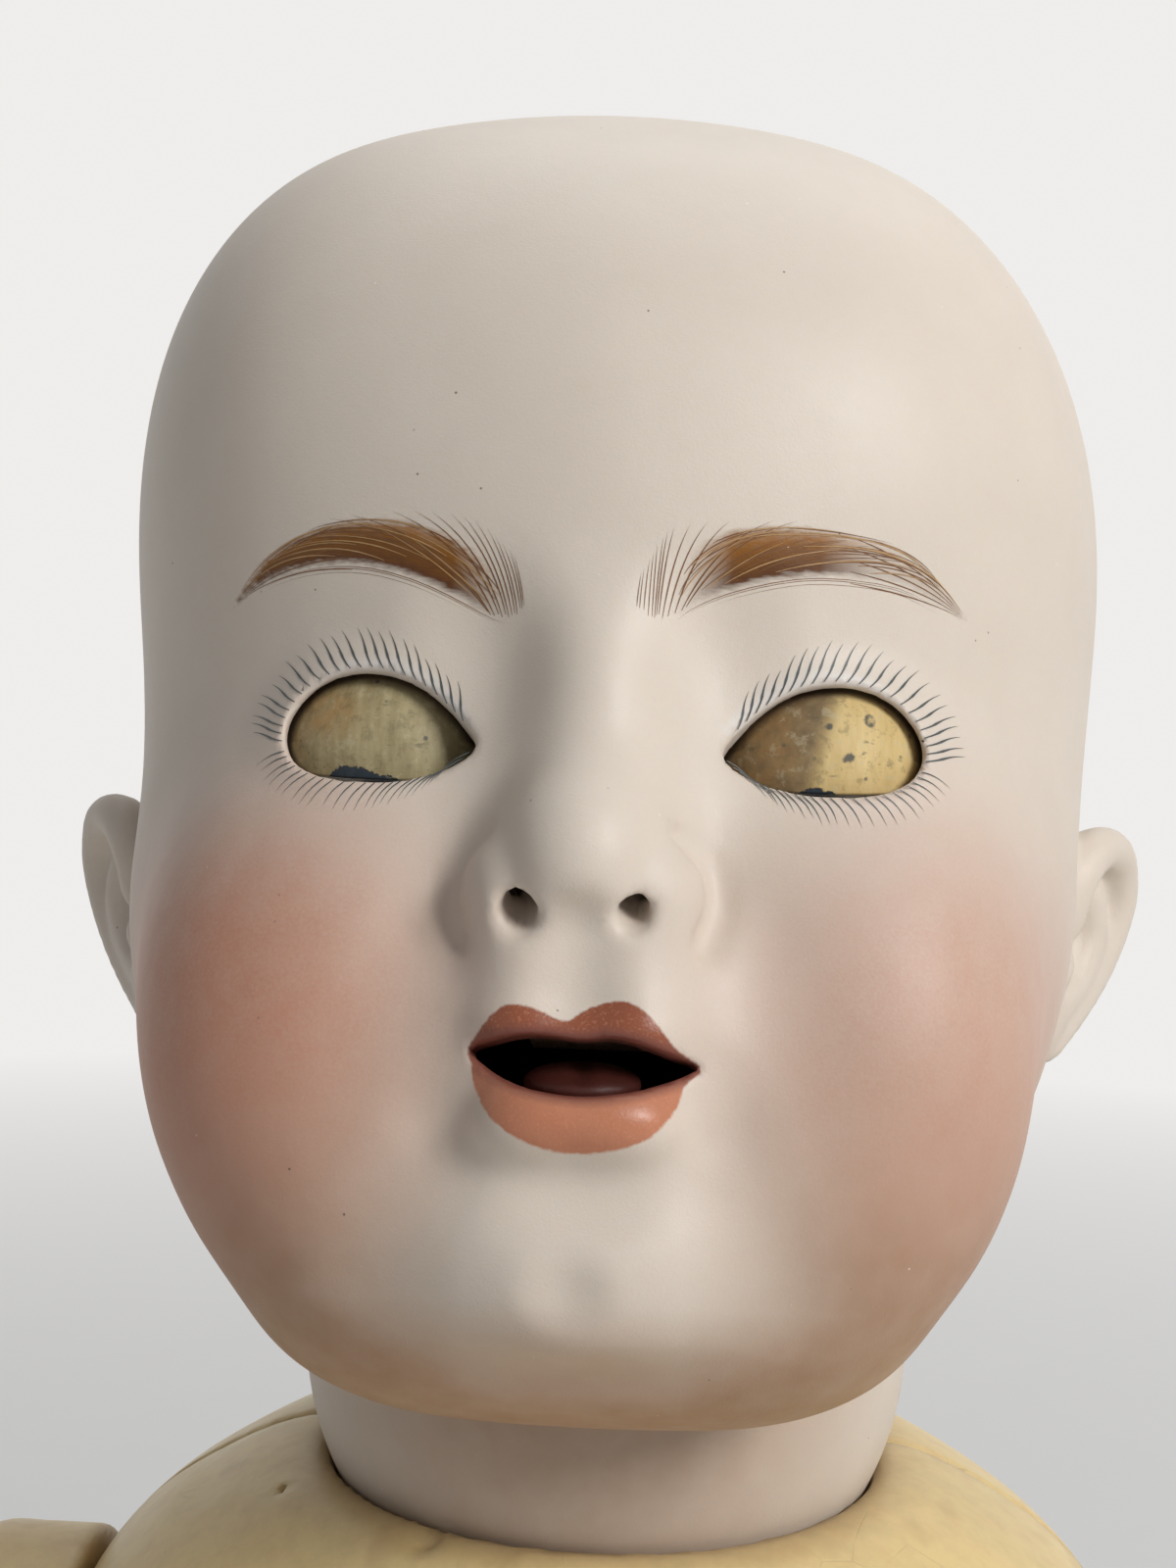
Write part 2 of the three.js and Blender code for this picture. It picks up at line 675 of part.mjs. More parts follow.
function eyeWeight(gap) {
  const half = weightLength / 2 + gap;
  return bar(
    weightCentre.clone().add(new THREE.Vector3(-half, 0, 0)),
    weightCentre.clone().add(new THREE.Vector3(half, 0, 0)),
    weightRadius + gap,
    smallSides,
  );
}
const armBore = bar(
  new THREE.Vector3(0, wireBack - eyeInset, 0),
  weightCentre.clone(),
  eyeWireRadius + gluedGap,
  cordSides,
);
const weightSink = weightRadius / 2;
const armEnd = ellipsoid(weightCentre.toArray(), [weightSink, weightSink, weightSink]);
place("eye_wire", eyeWire().subtract(armEnd), iron, head);
place("eye_weight", eyeWeight(0).subtract(armBore), lead, head);

function weightBumper() {
  const back = -eyeInset - weightRadius - 2 * gluedGap;
  const deep = headDepth / 2 + back;
  const at = [0, back - deep / 2, -weightArm];
  return block(at, [bumperWidth, deep, bumperHeight]).intersect(liningInset);
}
place("weight_bumper", weightBumper(), cork, head);

// Tongue: a small plate behind the lips on a springy wire
const tongueSeatShares = { y: -0.33, z: -0.3 };
const tongueSeatTop = new THREE.Vector3(0, tongueSeatShares.y * headDepth, tongueSeatShares.z * headHeight);
const tongueSeatSize = 9;
const tongueRoot = new THREE.Vector3(0, mouthCentre[1] + bisqueWall + tongueLength / 2, mouthCentre[2]);

function tonguePlate() {
  const centre = [0, mouthCentre[1] + bisqueWall, mouthCentre[2] - mouthHeight / 10];
  return ellipsoid(centre, [tongueWidth / 2, tongueLength / 2, tongueThick / 2]);
}

function tongueWirePath() {
  const loop = tongueSeatSize / 2;
  return [
    tongueRoot.clone().add(new THREE.Vector3(0, gluedGap, 0)),
    tongueRoot.clone().add(new THREE.Vector3(0, loop, -loop / 4)),
    tongueSeatTop.clone().add(new THREE.Vector3(0, 0, loop / 2)),
    tongueSeatTop.clone().add(new THREE.Vector3(0, 0, -loop / 2)),
  ];
}

function tongueSeat() {
  const half = tongueSeatSize / 2;
  const at = [0, tongueSeatTop.y - tongueSeatSize, tongueSeatTop.z - half];
  const body = block(at, [tongueSeatSize, 3 * tongueSeatSize, tongueSeatSize]);
  const hole = bar(
    tongueSeatTop.clone().add(new THREE.Vector3(0, 0, overrun)),
    tongueSeatTop.clone().add(new THREE.Vector3(0, 0, -half / 2 - 2 * gluedGap - tongueWireRadius)),
    tongueWireRadius + runningGap,
    cordSides,
  );
  return body.intersect(liningInset).subtract(hole);
}
place("tongue", tonguePlate(), redPaint, head);
place("tongue_wire", wire(tongueWirePath(), tongueWireRadius, 10), iron, head);
place("tongue_seat", tongueSeat(), plaster, head);

// Neck: a wood button inside the neck end, and an iron hook whose cross bar lies over the button's slot
const buttonOuter = neckRadius - neckWall - runningGap;
const buttonInner = buttonOuter - buttonWall;
const neckGroup = new THREE.Group();
neckGroup.position.copy(neckCentre);
head.add(neckGroup);

function neckButton() {
  const under = arcFromBottom(buttonOuter, 0, buttonSpread, 5);
  const over = arcFromBottom(buttonInner, buttonSpread, 0, 4);
  const button = toSolid(spun([...under, ...over], smallSides));
  return button.subtract(
    block([0, 0, -buttonOuter], [slotLength, 2 * (hookWire + runningGap), 2 * buttonWall + overrun]),
  );
}
place("neck_button", neckButton(), wood, neckGroup);

// An open ring at the end of a shank that runs along -Z, round something that passes along X at the origin
const neckRing = elasticRadius + gluedGap + hookWire;
const limbRing = elasticRadius + gluedGap + limbHookWire;

function hookPath(ring, shank) {
  const turns = [60, 15, -30, -75, -120, -165, -205].map(THREE.MathUtils.degToRad);
  const round = turns.map((turn) => new THREE.Vector3(0, ring * Math.cos(turn), ring * Math.sin(turn)));
  const neck = 2.4 * ring;
  const straight = [shank, (shank + neck) / 2, neck].map((height) => new THREE.Vector3(0, 0, height));
  return [...straight, ...round];
}

function neckHook() {
  const bottom = new THREE.Vector3(0, 0, -hookReach);
  const barHeight = hookWire - Math.sqrt((buttonInner - runningGap) ** 2 - (hookBar / 2) ** 2);
  const path = hookPath(neckRing, hookReach + barHeight).map((point) => point.add(bottom));
  const cross = bar(
    new THREE.Vector3(0, -hookBar / 2, barHeight),
    new THREE.Vector3(0, hookBar / 2, barHeight),
    hookWire,
    cordSides,
  );
  return wire(path, hookWire, shankRows).add(cross);
}
place("neck_hook", neckHook(), iron, neckGroup);

// The head is set so that its neck ball stands over the body's socket
const tilted = neckCentre.clone().applyAxisAngle(new THREE.Vector3(1, 0, 0), -headTilt);
const ballHeight = torsoHeight + neckStand;
head.rotation.x = -headTilt;
head.position.set(-tilted.x, -tilted.y, ballHeight - tilted.z);

// Body: level sections from the seat to the neck, as shares of its height, half width and half depth
const torsoShares = [
  { height: 0, side: 0.4, front: 0.48, back: 0.56 },
  { height: 0.015, side: 0.49, front: 0.64, back: 0.72 },
  { height: 0.05, side: 0.555, front: 0.82, back: 0.88 },
  { height: 0.12, side: 0.58, front: 0.95, back: 0.98 },
  { height: 0.22, side: 0.6, front: 1.05, back: 1.0 },
  { height: 0.3, side: 0.65, front: 1.12, back: 0.97 },
  { height: 0.36, side: 0.79, front: 1.14, back: 0.93 },
  { height: 0.43, side: 0.885, front: 1.12, back: 0.88 },
  { height: 0.52, side: 0.9, front: 1.04, back: 0.83 },
  { height: 0.61, side: 0.9, front: 0.95, back: 0.82 },
  { height: 0.7, side: 0.94, front: 0.91, back: 0.84 },
  { height: 0.79, side: 0.985, front: 0.9, back: 0.88 },
  { height: 0.86, side: 0.965, front: 0.89, back: 0.9 },
  { height: 0.91, side: 0.91, front: 0.87, back: 0.89 },
  { height: 0.95, side: 0.81, front: 0.84, back: 0.86 },
  { height: 0.98, side: 0.68, front: 0.79, back: 0.81 },
  { height: 1, side: 0.56, front: 0.76, back: 0.76 },
];
const sectionPower = 2.25; // a little squarer than an ellipse

function torsoSkin(inset, sides) {
  const rounded = (turn) => Math.sign(turn) * Math.abs(turn) ** (2 / sectionPower);
  const section = ({ height, side, front, back }) => {
    const level = Math.min(Math.max(height * torsoHeight, inset), torsoHeight - inset);
    return Array.from({ length: sides }, (_, i) => {
      const angle = (2 * Math.PI * i) / sides;
      const deep = Math.sin(angle) < 0 ? front : back;
      return new THREE.Vector3(
        ((side * torsoWidth) / 2 - inset) * rounded(Math.cos(angle)),
        ((deep * torsoDepth) / 2 - inset) * rounded(Math.sin(angle)),
        level,
      );
    });
  };
  const inside = torsoShares.filter(
    ({ height }) => !inset || (height * torsoHeight > inset && height * torsoHeight < torsoHeight - inset),
  );
  const rings = inside.map(section);
  const floor = new THREE.Vector3(0, 0, rings[0][0].z);
  const top = new THREE.Vector3(0, 0, rings[rings.length - 1][0].z);
  return ringSkin(rings, floor, top);
}

const ballCentre = new THREE.Vector3(0, 0, ballHeight);
const cupRadius = neckRadius + runningGap;
const armAxis = (x) => new THREE.Vector3(x, 0, torsoHeight - armDrop);
const legAxis = (x) => new THREE.Vector3(x, -legAxisForward, legAxisHeight);

// A disc across X round a limb's axis
function disc(axis, from, to, radius, sides = ballSides) {
  return bar(axis(from), axis(to), radius, sides);
}

function bothSides(solid) {
  return joined([solid, mirrored(solid)]);
}

function torso() {
  const cup = cupRadius + torsoWall;
  const cupShell = roundHollow(ballCentre.toArray(), cup, ballSides);
  const armPad = disc(armAxis, armSocket - torsoWall, armSocket + overrun, armHub + torsoWall);
  const legPad = disc(legAxis, legSocket - torsoWall, legSocket + overrun, legHub + torsoWall);
  const hollow = torsoSkin(torsoWall, bodyLiningSides)
    .subtract(cupShell)
    .subtract(bothSides(armPad))
    .subtract(bothSides(legPad));
  const socket = roundHollow(ballCentre.toArray(), cupRadius, socketSides);
  const hookWay = bar(new THREE.Vector3(0, 0, torsoHeight - cup), ballCentre, cupHole, ballSides);
  const armCut = disc(armAxis, armSocket, torsoWidth, armHub + runningGap);
  const legCut = disc(legAxis, legSocket, torsoWidth, legHub + runningGap);
  const armHole = disc(armAxis, armSocket - torsoWall - overrun, armSocket + overrun, stringHole, smallSides);
  const legHole = disc(legAxis, legSocket - torsoWall - overrun, legSocket + overrun, stringHole, smallSides);
  const navelHeightShare = 0.36;
  const bellyShare = 1.14;
  const navel = ellipsoid(
    [0, (-bellyShare * torsoDepth) / 2, navelHeightShare * torsoHeight],
    [navelRadius, navelRadius / 2, navelRadius],
  );
  return torsoSkin(0, bodySides)
    .subtract(hollow)
    .subtract(socket)
    .subtract(hookWay)
    .subtract(bothSides(joined([armCut, armHole])))
    .subtract(bothSides(joined([legCut, legHole])))
    .subtract(navel);
}

function halfSpace(sign) {
  const size = 2 * torsoHeight;
  return block([0, seamBack + sign * (size / 2 + seamGap / 2), torsoHeight / 2], [size, size, size]);
}
const wholeTorso = torso();
place("torso_front", wholeTorso.intersect(halfSpace(-1)), composition, doll);
place("torso_back", wholeTorso.intersect(halfSpace(1)), composition, doll);

// Limbs: a hub that lies on the body's flat, and a swelling tube from it along a bent path
const armPathShares = [
  [0.15, 0, 0.01],
  [0.27, -0.03, -0.22],
  [0.34, -0.12, -0.46],
  [0.33, -0.36, -0.5],
  [0.26, -0.6, -0.42],
];
const armGirthShares = [0.84, 0.86, 0.8, 0.78, 0.54];
const legPathShares = [
  [0.1, 0.02, 0],
  [0.25, -0.24, -0.01],
  [0.29, -0.5, -0.05],
  [0.19, -0.72, -0.09],
  [0.04, -0.84, -0.11],
];
const legGirthShares = [0.84, 0.9, 0.74, 0.72, 0.5];

function limbPath(shares, reach, axis, socket) {
  return shares.map(([x, y, z]) =>
    axis(socket + runningGap).add(new THREE.Vector3(x * reach, y * reach, z * reach)),
  );
}

// A thick button shape on the flat, domed outward
function hub(axis, socket, radius) {
  const face = socket + runningGap;
  const height = 0.95 * radius;
  const profile = [[0, 0], [radius - 1 / 16 * radius, 0], [radius, radius / 16]];
  for (let step = 0; step <= 4; step++) {
    const angle = (Math.PI / 2) * (step / 4);
    profile.push([radius * Math.cos(angle), radius / 3 + (height - radius / 3) * Math.sin(angle)]);
  }
  const at = axis(face);
  return toSolid(spun(profile, ballSides).rotateY(Math.PI / 2).translate(at.x, at.y, at.z));
}

// All that lies inward of a limb's face on the body
function inwardOf(axis, socket) {
  const size = 2 * torsoWidth;
  const at = axis(socket + runningGap - size / 2);
  return block(at.toArray(), [size, size, size]);
}

function plugRoom(axis, socket) {
  const face = socket + runningGap;
  return disc(axis, face - overrun, face + plugLength + gluedGap, plugRadius + gluedGap, smallSides);
}

function plug(axis, socket) {
  const face = socket + 2 * runningGap;
  const body = disc(axis, face, face + plugLength - runningGap, plugRadius, smallSides);
  const bore = disc(axis, face - overrun, face + 0.8 * plugLength, limbHookWire + gluedGap, cordSides);
  return body.subtract(bore);
}

// A limb's hook: its shank lies on the axis from the plug inward, and its ring holds the elastic
function limbHook(axis, socket, ringX, upright) {
  const shankEnd = socket + 2 * runningGap + 0.8 * plugLength - gluedGap;
  const path = hookPath(limbRing, shankEnd - ringX).map((point) => {
    const turned = upright ? new THREE.Vector3(point.z, 0, -point.y) : new THREE.Vector3(point.z, point.y, 0);
    return turned.add(axis(ringX));
  });
  return wire(path, limbHookWire, shankRows);
}

const armRingX = armSocket - torsoWall - 3 * limbRing;
const legRingX = legSocket - torsoWall - 3 * limbRing;

function fingers() {
  const palmEnd = handLength / 2;
  const spread = handWidth / 4.3;
  const lengthShares = [0.9, 1.06, 1, 0.82];
  const straight = lengthShares.map((lengthShare, i) => {
    const across = (i - 1.5) * spread;
    const long = lengthShare * fingerLength;
    const curl = [
      new THREE.Vector3(0.8 * across, palmEnd / 2, 0),
      new THREE.Vector3(across, palmEnd + 0.3 * long, -0.06 * long),
      new THREE.Vector3(1.1 * across, palmEnd + 0.7 * long, -0.2 * long),
      new THREE.Vector3(1.12 * across, palmEnd + 0.92 * long, -0.42 * long),
    ];
    const girths = [fingerRadius, fingerRadius, 0.92 * fingerRadius, 0.72 * fingerRadius];
    return tapered(curl, girths, { sides: fingerSides, steps: 3 });
  });
  const thumbSide = -handWidth / 2;
  const thumb = tapered(
    [
      new THREE.Vector3(0.4 * thumbSide, -0.1 * handLength, 0),
      new THREE.Vector3(0.95 * thumbSide, 0.16 * handLength, -0.1 * fingerLength),
      new THREE.Vector3(1.12 * thumbSide, 0.42 * handLength, -0.24 * fingerLength),
      new THREE.Vector3(1.08 * thumbSide, 0.6 * handLength, -0.34 * fingerLength),
    ],
    [1.25 * fingerRadius, 1.2 * fingerRadius, fingerRadius, 0.75 * fingerRadius],
    { sides: fingerSides, steps: 3 },
  );
  return joined([...straight, thumb]);
}

// The hand lies in its own frame: fingers along +Y, palm down, thumb on -X
function hand() {
  const palm = ellipsoid([0, 0, 0], [handWidth / 2, 0.62 * handLength, handThick / 2]);
  return joined([palm, fingers()]);
}

function foot() {
  const sole = tapered(
    [
      new THREE.Vector3(0, -0.34 * footLength, 0),
      new THREE.Vector3(0, -0.1 * footLength, 0),
      new THREE.Vector3(0, 0.18 * footLength, 0.02 * footLength),
      new THREE.Vector3(0, 0.42 * footLength, 0.04 * footLength),
    ],
    [0.34 * footWidth, 0.46 * footWidth, 0.5 * footWidth, 0.4 * footWidth],
    { sides: limbSides, steps: 4, domeRings: 2, flat: footThick / footWidth },
  );
  const toeShares = [1.5, 1.1, 1, 0.92, 0.8];
  const toes = toeShares.map((size, i) => {
    const across = ((i - 2) / 2) * 0.4 * footWidth;
    const round = size * toeRadius;
    const reach = 0.5 * footLength - 0.05 * footLength * i;
    return ellipsoid([across, reach, 0.04 * footLength], [0.8 * round, 1.1 * round, 0.9 * round], toeSides);
  });
  return joined([sole, ...toes]);
}

// Turn a hand or foot so that its +Y lies along a direction and its top faces as near up as it can
function attach(solid, at, along, up) {
  const y = along.clone().normalize();
  const z = up.clone().addScaledVector(y, -up.dot(y)).normalize();
  const x = new THREE.Vector3().crossVectors(y, z);
  const turn = new THREE.Matrix4().makeBasis(x, y, z).setPosition(at);
  return toSolid(toGeometry(solid).applyMatrix4(turn));
}

function arm() {
  const path = limbPath(armPathShares, armReach, armAxis, armSocket);
  const girths = armGirthShares.map((share) => share * armGirth);
  const wrist = path[path.length - 1];
  const along = wrist.clone().sub(path[path.length - 2]);
  const palmCentre = wrist.clone().addScaledVector(along.clone().normalize(), 0.5 * handLength);
  const tube = tapered(path, girths, { sides: limbSides, steps: 8, domeRings: 2 });
  return joined([
    hub(armAxis, armSocket, armHub),
    tube.subtract(inwardOf(armAxis, armSocket)),
    attach(hand(), palmCentre, along, new THREE.Vector3(0.55, 0, 0.83)),
  ]).subtract(plugRoom(armAxis, armSocket));
}

function leg() {
  const path = limbPath(legPathShares, legReach, legAxis, legSocket);
  const girths = legGirthShares.map((share) => share * legGirth);
  const ankle = path[path.length - 1];
  const toeward = new THREE.Vector3(-0.25, -0.45, 0.86);
  const footCentre = ankle.clone().addScaledVector(toeward, 0.2 * footLength);
  const floor = block([0, 0, -legReach], [4 * legReach, 4 * legReach, 2 * legReach]);
  const inner = new THREE.Vector3(0.45, 0.8, 0.4);
  return joined([
    hub(legAxis, legSocket, legHub),
    tapered(path, girths, { sides: limbSides, steps: 9, domeRings: 2 }).subtract(inwardOf(legAxis, legSocket)),
    attach(foot(), footCentre, toeward, inner),
  ])
    .subtract(plugRoom(legAxis, legSocket))
    .subtract(floor);
}
placePair("arm", arm(), composition, doll);
placePair("arm_plug", plug(armAxis, armSocket), wood, doll);
placePair("arm_hook", limbHook(armAxis, armSocket, armRingX, true), iron, doll);
placePair("leg", leg(), composition, doll);
placePair("leg_plug", plug(legAxis, legSocket), wood, doll);
placePair("leg_hook", limbHook(legAxis, legSocket, legRingX, false), iron, doll);

// Elastic: a round cord run as a belt round three or two bends, in a plane given by two directions
function beltLoop(bends, radius, origin, right, up, arcSteps) {
  const flatPoints = [];
  const count = bends.length;
  bends.forEach((bend, i) => {
    const before = bends[(i + count - 1) % count];
    const after = bends[(i + 1) % count];
    const normal = (from, to) => Math.atan2(to[1] - from[1], to[0] - from[0]) - Math.PI / 2;
    const start = normal(before, bend);
    let end = normal(bend, after);
    while (end < start) end += 2 * Math.PI;
    for (let step = 0; step <= arcSteps; step++) {
      const angle = start + ((end - start) * step) / arcSteps;
      flatPoints.push([bend[0] + radius * Math.cos(angle), bend[1] + radius * Math.sin(angle)]);
    }
  });
  const points = flatPoints.map(([u, v]) =>
    origin.clone().addScaledVector(right, u).addScaledVector(up, v),
  );
  const normal = new THREE.Vector3().crossVectors(right, up).normalize();
  const places = [];
  points.forEach((point, i) => {
    const along = points[(i + 1) % points.length].clone().sub(points[(i + points.length - 1) % points.length]);
    const out = new THREE.Vector3().crossVectors(along, normal).normalize();
    for (let side = 0; side < cordSides; side++) {
      const angle = (2 * Math.PI * side) / cordSides;
      const place = point
        .clone()
        .addScaledVector(out, elasticRadius * Math.cos(angle))
        .addScaledVector(normal, elasticRadius * Math.sin(angle));
      places.push(...place.toArray());
    }
  });
  const index = [];
  points.forEach((_, i) => {
    const next = ((i + 1) % points.length) * cordSides;
    for (let side = 0; side < cordSides; side++) {
      const [a, b] = [i * cordSides + side, i * cordSides + ((side + 1) % cordSides)];
      const [c, d] = [next + ((side + 1) % cordSides), next + side];
      index.push(a, b, c, a, c, d);
    }
  });
  const geometry = new THREE.BufferGeometry();
  geometry.setAttribute("position", new THREE.Float32BufferAttribute(places, 3));
  geometry.setIndex(index);
  return toSolid(geometry);
}

const armBend = armRingX - elasticBend;
place(
  "arm_elastic",
  beltLoop(
    [[-armBend, 0], [armBend, 0]],
    elasticBend,
    armAxis(0),
    new THREE.Vector3(1, 0, 0),
    new THREE.Vector3(0, 1, 0),
    bendRows,
  ),
  elasticCord,
  doll,
);

const hookDirection = new THREE.Vector3(0, -Math.sin(headTilt), -Math.cos(headTilt));
const hookBottom = ballCentre.clone().addScaledVector(hookDirection, hookReach);
const hipMiddle = legAxis(0);
const stringUp = hookBottom.clone().sub(hipMiddle);
const stringHeight = stringUp.length();
const legBend = legRingX - elasticBend;
place(
  "leg_elastic",
  beltLoop(
    [[-legBend, 0], [legBend, 0], [0, stringHeight - elasticBend]],
    elasticBend,
    hipMiddle,
    new THREE.Vector3(1, 0, 0),
    stringUp.clone().normalize(),
    bendRows,
  ),
  elasticCord,
  doll,
);

export default doll;
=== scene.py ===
import math
import random

import bpy
import numpy as np
from mathutils import Matrix, Vector


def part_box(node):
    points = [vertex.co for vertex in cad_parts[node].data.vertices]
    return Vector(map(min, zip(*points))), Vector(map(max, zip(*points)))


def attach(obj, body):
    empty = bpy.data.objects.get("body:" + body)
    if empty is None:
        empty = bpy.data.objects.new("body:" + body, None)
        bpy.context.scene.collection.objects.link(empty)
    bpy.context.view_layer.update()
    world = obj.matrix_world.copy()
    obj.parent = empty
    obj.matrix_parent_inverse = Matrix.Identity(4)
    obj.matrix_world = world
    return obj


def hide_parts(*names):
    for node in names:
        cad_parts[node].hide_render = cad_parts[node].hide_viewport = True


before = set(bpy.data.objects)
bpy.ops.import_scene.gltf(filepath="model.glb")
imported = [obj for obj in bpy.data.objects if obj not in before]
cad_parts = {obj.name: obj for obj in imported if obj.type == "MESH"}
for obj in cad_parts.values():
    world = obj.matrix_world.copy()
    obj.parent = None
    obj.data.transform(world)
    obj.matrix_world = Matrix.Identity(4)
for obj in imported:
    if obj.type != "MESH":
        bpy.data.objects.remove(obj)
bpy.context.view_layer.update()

mm = 0.001
rng = random.Random(7)


# Shader nodes

class Num:
    # one number in a material, from which sums are written as plain expressions
    def __init__(self, socket):
        self.socket = socket

    def sum(self, operation, first, second, clamp=False):
        tree = self.socket.id_data
        node = tree.nodes.new("ShaderNodeMath")
        node.operation = operation
        node.use_clamp = clamp
        for slot, value in zip(node.inputs, (first, second)):
            if isinstance(value, Num):
                tree.links.new(value.socket, slot)
            else:
                slot.default_value = value
        return Num(node.outputs[0])

    def __add__(self, other):
        return self.sum("ADD", self, other)

    __radd__ = __add__

    def __sub__(self, other):
        return self.sum("SUBTRACT", self, other)

    def __rsub__(self, other):
        return self.sum("SUBTRACT", other, self)

    def __mul__(self, other):
        return self.sum("MULTIPLY", self, other)

    __rmul__ = __mul__

    def __truediv__(self, other):
        return self.sum("DIVIDE", self, other)

    def clamped(self):
        return self.sum("ADD", self, 0.0, clamp=True)

    def over(self, edge, soft):
        # 0 well under the edge, 1 well over it
        return self.sum("ADD", (self - edge) / (2 * soft), 0.5, clamp=True)


class Nodes:
    # a tree of nodes, each made with its settings and what feeds it
    def __init__(self, tree):
        self.tree = tree

    def feed(self, socket, value):
        if isinstance(value, Num):
            value = value.socket
        if isinstance(value, bpy.types.NodeSocket):
            self.tree.links.new(value, socket)
        else:
            socket.default_value = (*value, 1) if socket.type == "RGBA" else value

    def node(self, kind, settings=None, inputs=None):
        node = self.tree.nodes.new("ShaderNode" + kind)
        for key, value in (settings or {}).items():
            setattr(node, key, value)
        for key, value in (inputs or {}).items():
            self.feed(node.inputs[key], value)
        return node

    def seen(self):
        # 1 for what the camera sees, also in a mirror or through glass, and 0 for what only lights the doll
        rays = self.node("LightPath").outputs
        return (Num(rays["Is Camera Ray"]) + Num(rays["Is Glossy Ray"]) + Num(rays["Is Transmission Ray"])).clamped()


class Finish(Nodes):
    # one material on a Principled shader; its sizes are in millimetres
    def __init__(self, name, **constants):
        self.material = bpy.data.materials.new(name)
        self.material.use_nodes = True
        super().__init__(self.material.node_tree)
        self.shader = self.tree.nodes["Principled BSDF"]
        for key, value in constants.items():
            self.feed(self.shader.inputs[key.replace("_", " ")], value)
        self.place = self.node("TexCoord").outputs["Object"]

    def grain(self, size, detail=2.0, roughness=0.5, stretch=None):
        # noise with blotches of about this size, from 0 to 1
        place = self.place
        if stretch:
            place = self.node("Mapping", inputs={"Vector": self.place, "Scale": stretch}).outputs[0]
        inputs = {"Vector": place, "Scale": 1 / (size * mm), "Detail": detail, "Roughness": roughness}
        return Num(self.node("TexNoise", inputs=inputs).outputs["Fac"])

    def cells(self, size, randomness=1.0):
        # distance to the nearest of many scattered points, as a share of their spacing
        inputs = {"Vector": self.place, "Scale": 1 / (size * mm), "Randomness": randomness}
        return Num(self.node("TexVoronoi", inputs=inputs).outputs["Distance"])

    def field(self, name):
        # a number kept at each point of the mesh
        return Num(self.node("Attribute", {"attribute_name": name}).outputs["Fac"])

    def mix(self, under, over, share):
        return self.node("Mix", {"data_type": "RGBA"}, {0: share, 6: under, 7: over}).outputs[2]

    def color(self, value):
        self.base = value
        self.feed(self.shader.inputs["Base Color"], value)

    def coat(self, over, share):
        # lays another colour over what is there
        self.color(self.mix(self.base, over, share))

    def rough(self, value):
        self.feed(self.shader.inputs["Roughness"], value)

    def bump(self, height, depth, strength):
        inputs = {"Height": height, "Distance": depth * mm, "Strength": strength}
        self.feed(self.shader.inputs["Normal"], self.node("Bump", inputs=inputs).outputs[0])


# Rounded forms given by about how far a point lies outside them, in millimetres

def ovalGap(x, y, z, at, size):
    dx, dy, dz = (x - at[0]) / size[0], (y - at[1]) / size[1], (z - at[2]) / size[2]
    near = np.sqrt(dx * dx + dy * dy + dz * dz)
    slope = np.sqrt((dx / size[0]) ** 2 + (dy / size[1]) ** 2 + (dz / size[2]) ** 2) + 1e-6
    return (near - 1) * near / slope


def ballGap(x, y, z, at, radius):
    return np.sqrt((x - at[0]) ** 2 + (y - at[1]) ** 2 + (z - at[2]) ** 2) - radius


def rodGap(x, y, z, start, end, startRadius, endRadius):
    run = np.subtract(end, start)
    share = ((x - start[0]) * run[0] + (y - start[1]) * run[1] + (z - start[2]) * run[2]) / run.dot(run)
    share = np.clip(share, 0, 1)
    far = np.sqrt(
        (x - start[0] - share * run[0]) ** 2
        + (y - start[1] - share * run[1]) ** 2
        + (z - start[2] - share * run[2]) ** 2
    )
    return far - startRadius - (endRadius - startRadius) * share


def chainGap(x, y, z, chain):
    # a swelling tube along points given with their radii
    gap = np.full(np.shape(x), 1e3)
    for start, end in zip(chain, chain[1:]):
        gap = np.minimum(gap, rodGap(x, y, z, start[:3], end[:3], start[3], end[3]))
    return gap


def ramp(value, width):
    # 0 up to nought, then rising to 1 over the width
    return np.clip(value / width, 0, 1)


def bell(*parts):
    # 1 in the middle and soft round it
    return np.exp(-sum(part**2 for part in parts))


def softJoin(a, b, width):
    mix = np.maximum(width - np.abs(a - b), 0) / width
    return np.minimum(a, b) - mix * mix * width / 4


def softCut(a, b, width):
    return -softJoin(-a, b, width)


def roundCurve(points, steps=10, closed=False):
    # a smooth curve through the points
    count = len(points)
    points = np.array(points, float)
    result = []
    for i in range(count if closed else count - 1):
        near = [(i + k) % count if closed else min(max(i + k, 0), count - 1) for k in (-1, 0, 1, 2)]
        a, b, c, d = points[near]
        for step in range(steps):
            t = step / steps
            result.append(0.5 * (2 * b + (c - a) * t + (2 * a - 5 * b + 4 * c - d) * t**2
                                 + (3 * b - a - 3 * c + d) * t**3))
    if not closed:
        result.append(points[-1])
    return np.array(result)


def outlineGap(u, v, outline):
    # distance from a closed outline in a plane, negative inside it
    nearest = np.full(u.shape, 1e9)
    inside = np.zeros(u.shape, bool)
    for (au, av), (bu, bv) in zip(outline, np.roll(outline, -1, axis=0)):
        ru, rv = bu - au, bv - av
        share = np.clip(((u - au) * ru + (v - av) * rv) / (ru * ru + rv * rv + 1e-12), 0, 1)
        nearest = np.minimum(nearest, (u - au - share * ru) ** 2 + (v - av - share * rv) ** 2)
        crosses = (av > v) != (bv > v)
        inside ^= crosses & (u < ru * (v - av) / (rv + 1e-12) + au)
    return np.sqrt(nearest) * np.where(inside, -1, 1)


def within(gap, mask, plain):
    # works out a form only where the mask is set
    result = np.full(mask.shape, float(plain))
    if mask.any():
        result[mask] = gap(mask)
    return result


